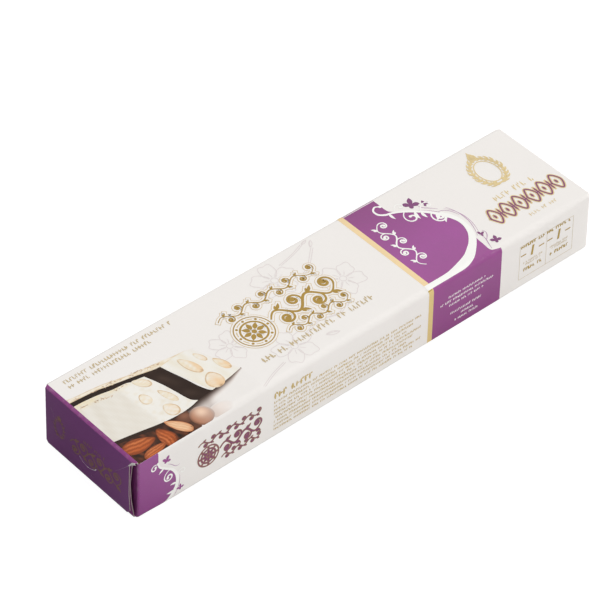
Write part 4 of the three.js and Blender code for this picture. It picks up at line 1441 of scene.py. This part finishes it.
# The table's thin parts, frame and faint rows, and its bold ones, bars with dashes and heading.
def tableShapes():
    left, right, foot, top = table["frame"]
    uprights = [((x, foot), (x, top)) for x in (left, right, table["divider"])]
    levels = [((left, y), (right, y)) for y in (foot, top)]
    thin = [ribbon(np.linspace(a, b, 24), table["line"]) for a, b in uprights + levels]
    lean = table["barLean"]
    bold = [ribbon(np.linspace((x - lean, y), (x + lean, y + tall), 8), table["barWidth"])
            for x, y, tall in table["bars"]]
    away, reach, thick = table["dashes"]
    for x, y, tall in table["bars"]:
        level = y + table["dashRise"] * tall
        for side in (1, -1):
            dash = np.linspace((x + side * away, level), (x + side * (away + reach), level), 5)
            bold.append(ribbon(dash, thick))
    start, stop, thick = table["stripeDash"]
    bold.append(ribbon(np.linspace(start, stop, 6), thick))
    for number, row in enumerate(table["heading"] + table["bold"]):
        bold += printedRows(*row, 70 + number, weight=0.5, gaps=0.1)
    for number, row in enumerate(table["faint"]):
        thin += printedRows(*row, 80 + number)
    return thin, bold


thinTable, boldTable = tableShapes()
printPiece("tableLines", onPanels("side back", thinTable), "line", "faintGoldInk")
printPiece("tableBold", onPanels("side back", boldTable), "overLine", "oliveGoldInk")
print("table: done")

# The ends: a dim wreath and a running scroll, and on the near one the scuffs of handling.
endLook = {
    "wreathMiddle": (7.4, 11.4), "wreath": (2.2, 3.5, 1.3, 7, 0.07),
    "scrollFoot": (12.9, 10.2), "scroll": (24.5, 6.4, 6, 0.72),
    "row": (19.5, 30.5, 14.6, 1.3), "rowSeed": 90,
    "farShift": 1.4,  # the far end's print stands so far off the middle
    # lines through three places, and their width
    "scuffs": (((41.6, 21.7), (38.6, 18.2), (35.2, 14.4), 0.2), ((23.0, 2.9), (23.7, 2.6), (24.3, 2.7), 0.16),
               ((3.2, 17.5), (4.4, 15.6), (5.0, 13.4), 0.14), ((12, 1.6), (15, 1.5), (18.5, 1.7), 0.10),
               ((35, 1.3), (37, 1.2), (40, 1.4), 0.12)),
}


# What is printed on an end: the wreath, the scroll and a row of strokes.
def endShapes():
    shapes = placed(wreath(*endLook["wreath"]), endLook["wreathMiddle"])
    shapes += placed(runningScroll(*endLook["scroll"]), endLook["scrollFoot"])
    return shapes + printedRows(*endLook["row"], endLook["rowSeed"])


# Places on the outer flaps, for print: the far end's run the other way, off the middle by farShift.
def onNearFlap(across, up, lift):
    return onFlap(across, up, lift, -1)


def onFarFlap(across, up, lift):
    return onFlap(width - endLook["farShift"] - across, up, lift, 1)


printPiece("endOrnamentNear", endShapes(), "line", "endGoldInk", onNearFlap, 1)
printPiece("endOrnamentFar", endShapes(), "line", "endGoldInk", onFarFlap, 1)
scuffs = [tapered(throughKnots(knots, 26), (thick, 0.25 * thick)) for *knots, thick in endLook["scuffs"]]
printPiece("endScuffs", scuffs, "scuff", "rubbedInk", onNearFlap, 1)
print("ends: done")

# Floor, lights and camera.
stageLook = {
    "floorSize": 6.0, "floorGlow": 0.9, "floorSeen": 0.25, "floorBounce": 0.82,
    # a darker patch before the near end: x, y, radii, what it bounces
    "shade": (-0.165, 0.02, 0.045, 0.1, 0.08),
    # a room of light, brighter towards one way: its mean, and how much it gains along x, y and z
    "roomLight": 0.775, "roomLean": (0.69, -0.26, 0.19), "roomLeast": 0.03,
    "key": 0.3, "keyFrom": (0.35, 0.25, 0.9), "keySpread": 50,
}


# A square that bounces light, less of it in the patch, and shows the camera an even pale ground.
def makeFloor():
    half = stageLook["floorSize"] / 2
    corners = [(-half, -half, 0), (half, -half, 0), (half, half, 0), (-half, half, 0)]
    mesh = bpy.data.meshes.new("floor")
    mesh.from_pydata(corners, [], [(0, 1, 2, 3)])
    material = bpy.data.materials.new("floorPaper")
    material.use_nodes = True
    tree = material.node_tree
    tree.nodes.clear()
    out = tree.nodes.new("ShaderNodeOutputMaterial")
    x, y, inner, outer, dim = stageLook["shade"]
    place = addNode(tree, "ShaderNodeTexCoord").outputs["Object"]
    away = addNode(tree, "ShaderNodeVectorMath", {0: place, 1: (x, y, 0)}, operation="DISTANCE")
    shade = mapRange(tree, away.outputs["Value"], inner, outer, dim, stageLook["floorBounce"])
    bounce = addNode(tree, "ShaderNodeBsdfDiffuse", {"Color": shade})
    seen = addNode(tree, "ShaderNodeBsdfDiffuse", {"Color": (*[stageLook["floorSeen"]] * 3, 1)})
    glow = addNode(tree, "ShaderNodeEmission", {"Strength": stageLook["floorGlow"]})
    both = addNode(tree, "ShaderNodeAddShader", {0: seen.outputs[0], 1: glow.outputs[0]})
    path = addNode(tree, "ShaderNodeLightPath")
    mix = addNode(tree, "ShaderNodeMixShader",
                  {0: path.outputs["Is Camera Ray"], 1: bounce.outputs[0], 2: both.outputs[0]})
    tree.links.new(mix.outputs[0], out.inputs["Surface"])
    mesh.materials.append(material)
    floor = bpy.data.objects.new("floor", mesh)
    bpy.context.scene.collection.objects.link(floor)


# The room's light grows with the direction's product with roomLean; a soft lamp from above is the key.
def makeLights():
    world = bpy.data.worlds.new("studio")
    world.use_nodes = True
    tree = world.node_tree
    place = addNode(tree, "ShaderNodeTexCoord").outputs["Generated"]
    lean = addNode(tree, "ShaderNodeVectorMath", {0: place, 1: stageLook["roomLean"]},
                   operation="DOT_PRODUCT").outputs["Value"]
    light = addMath(tree, "ADD", lean, stageLook["roomLight"])
    light = addMath(tree, "MAXIMUM", light, stageLook["roomLeast"])
    sky = tree.nodes["Background"]
    sky.inputs["Color"].default_value = (1, 1, 1, 1)
    tree.links.new(light, sky.inputs["Strength"])
    bpy.context.scene.world = world
    data = bpy.data.lights.new("key", "SUN")
    data.energy = stageLook["key"]
    data.angle = np.radians(stageLook["keySpread"])
    key = bpy.data.objects.new("key", data)
    key.rotation_euler = Vector(stageLook["keyFrom"]).to_track_quat("Z", "Y").to_euler()
    bpy.context.scene.collection.objects.link(key)


cameraLook = {
    "place": (-0.54485, -0.55939, 0.74536),  # metres
    "right": (0.74661, -0.66433, 0.03536), "up": (0.43419, 0.52686, 0.73069),
    "focal": 196.40, "sensor": 36.0, "clip": (0.05, 20),
}


# The camera's axes: right, up less its part along right, and their cross product.
def makeCamera():
    data = bpy.data.cameras.new("camera")
    data.lens, data.sensor_width = cameraLook["focal"], cameraLook["sensor"]
    data.clip_start, data.clip_end = cameraLook["clip"]
    right = np.array(cameraLook["right"]) / np.linalg.norm(cameraLook["right"])
    up = np.array(cameraLook["up"])
    up = up - (up @ right) * right
    up /= np.linalg.norm(up)
    camera = bpy.data.objects.new("camera", data)
    turned = Matrix(np.stack([right, up, np.cross(right, up)], axis=1).tolist()).to_4x4()
    camera.matrix_world = Matrix.Translation(cameraLook["place"]) @ turned
    bpy.context.scene.collection.objects.link(camera)
    bpy.context.scene.camera = camera


makeFloor()
makeLights()
makeCamera()
bpy.context.scene.view_settings.view_transform = "Standard"
print("stage: done")
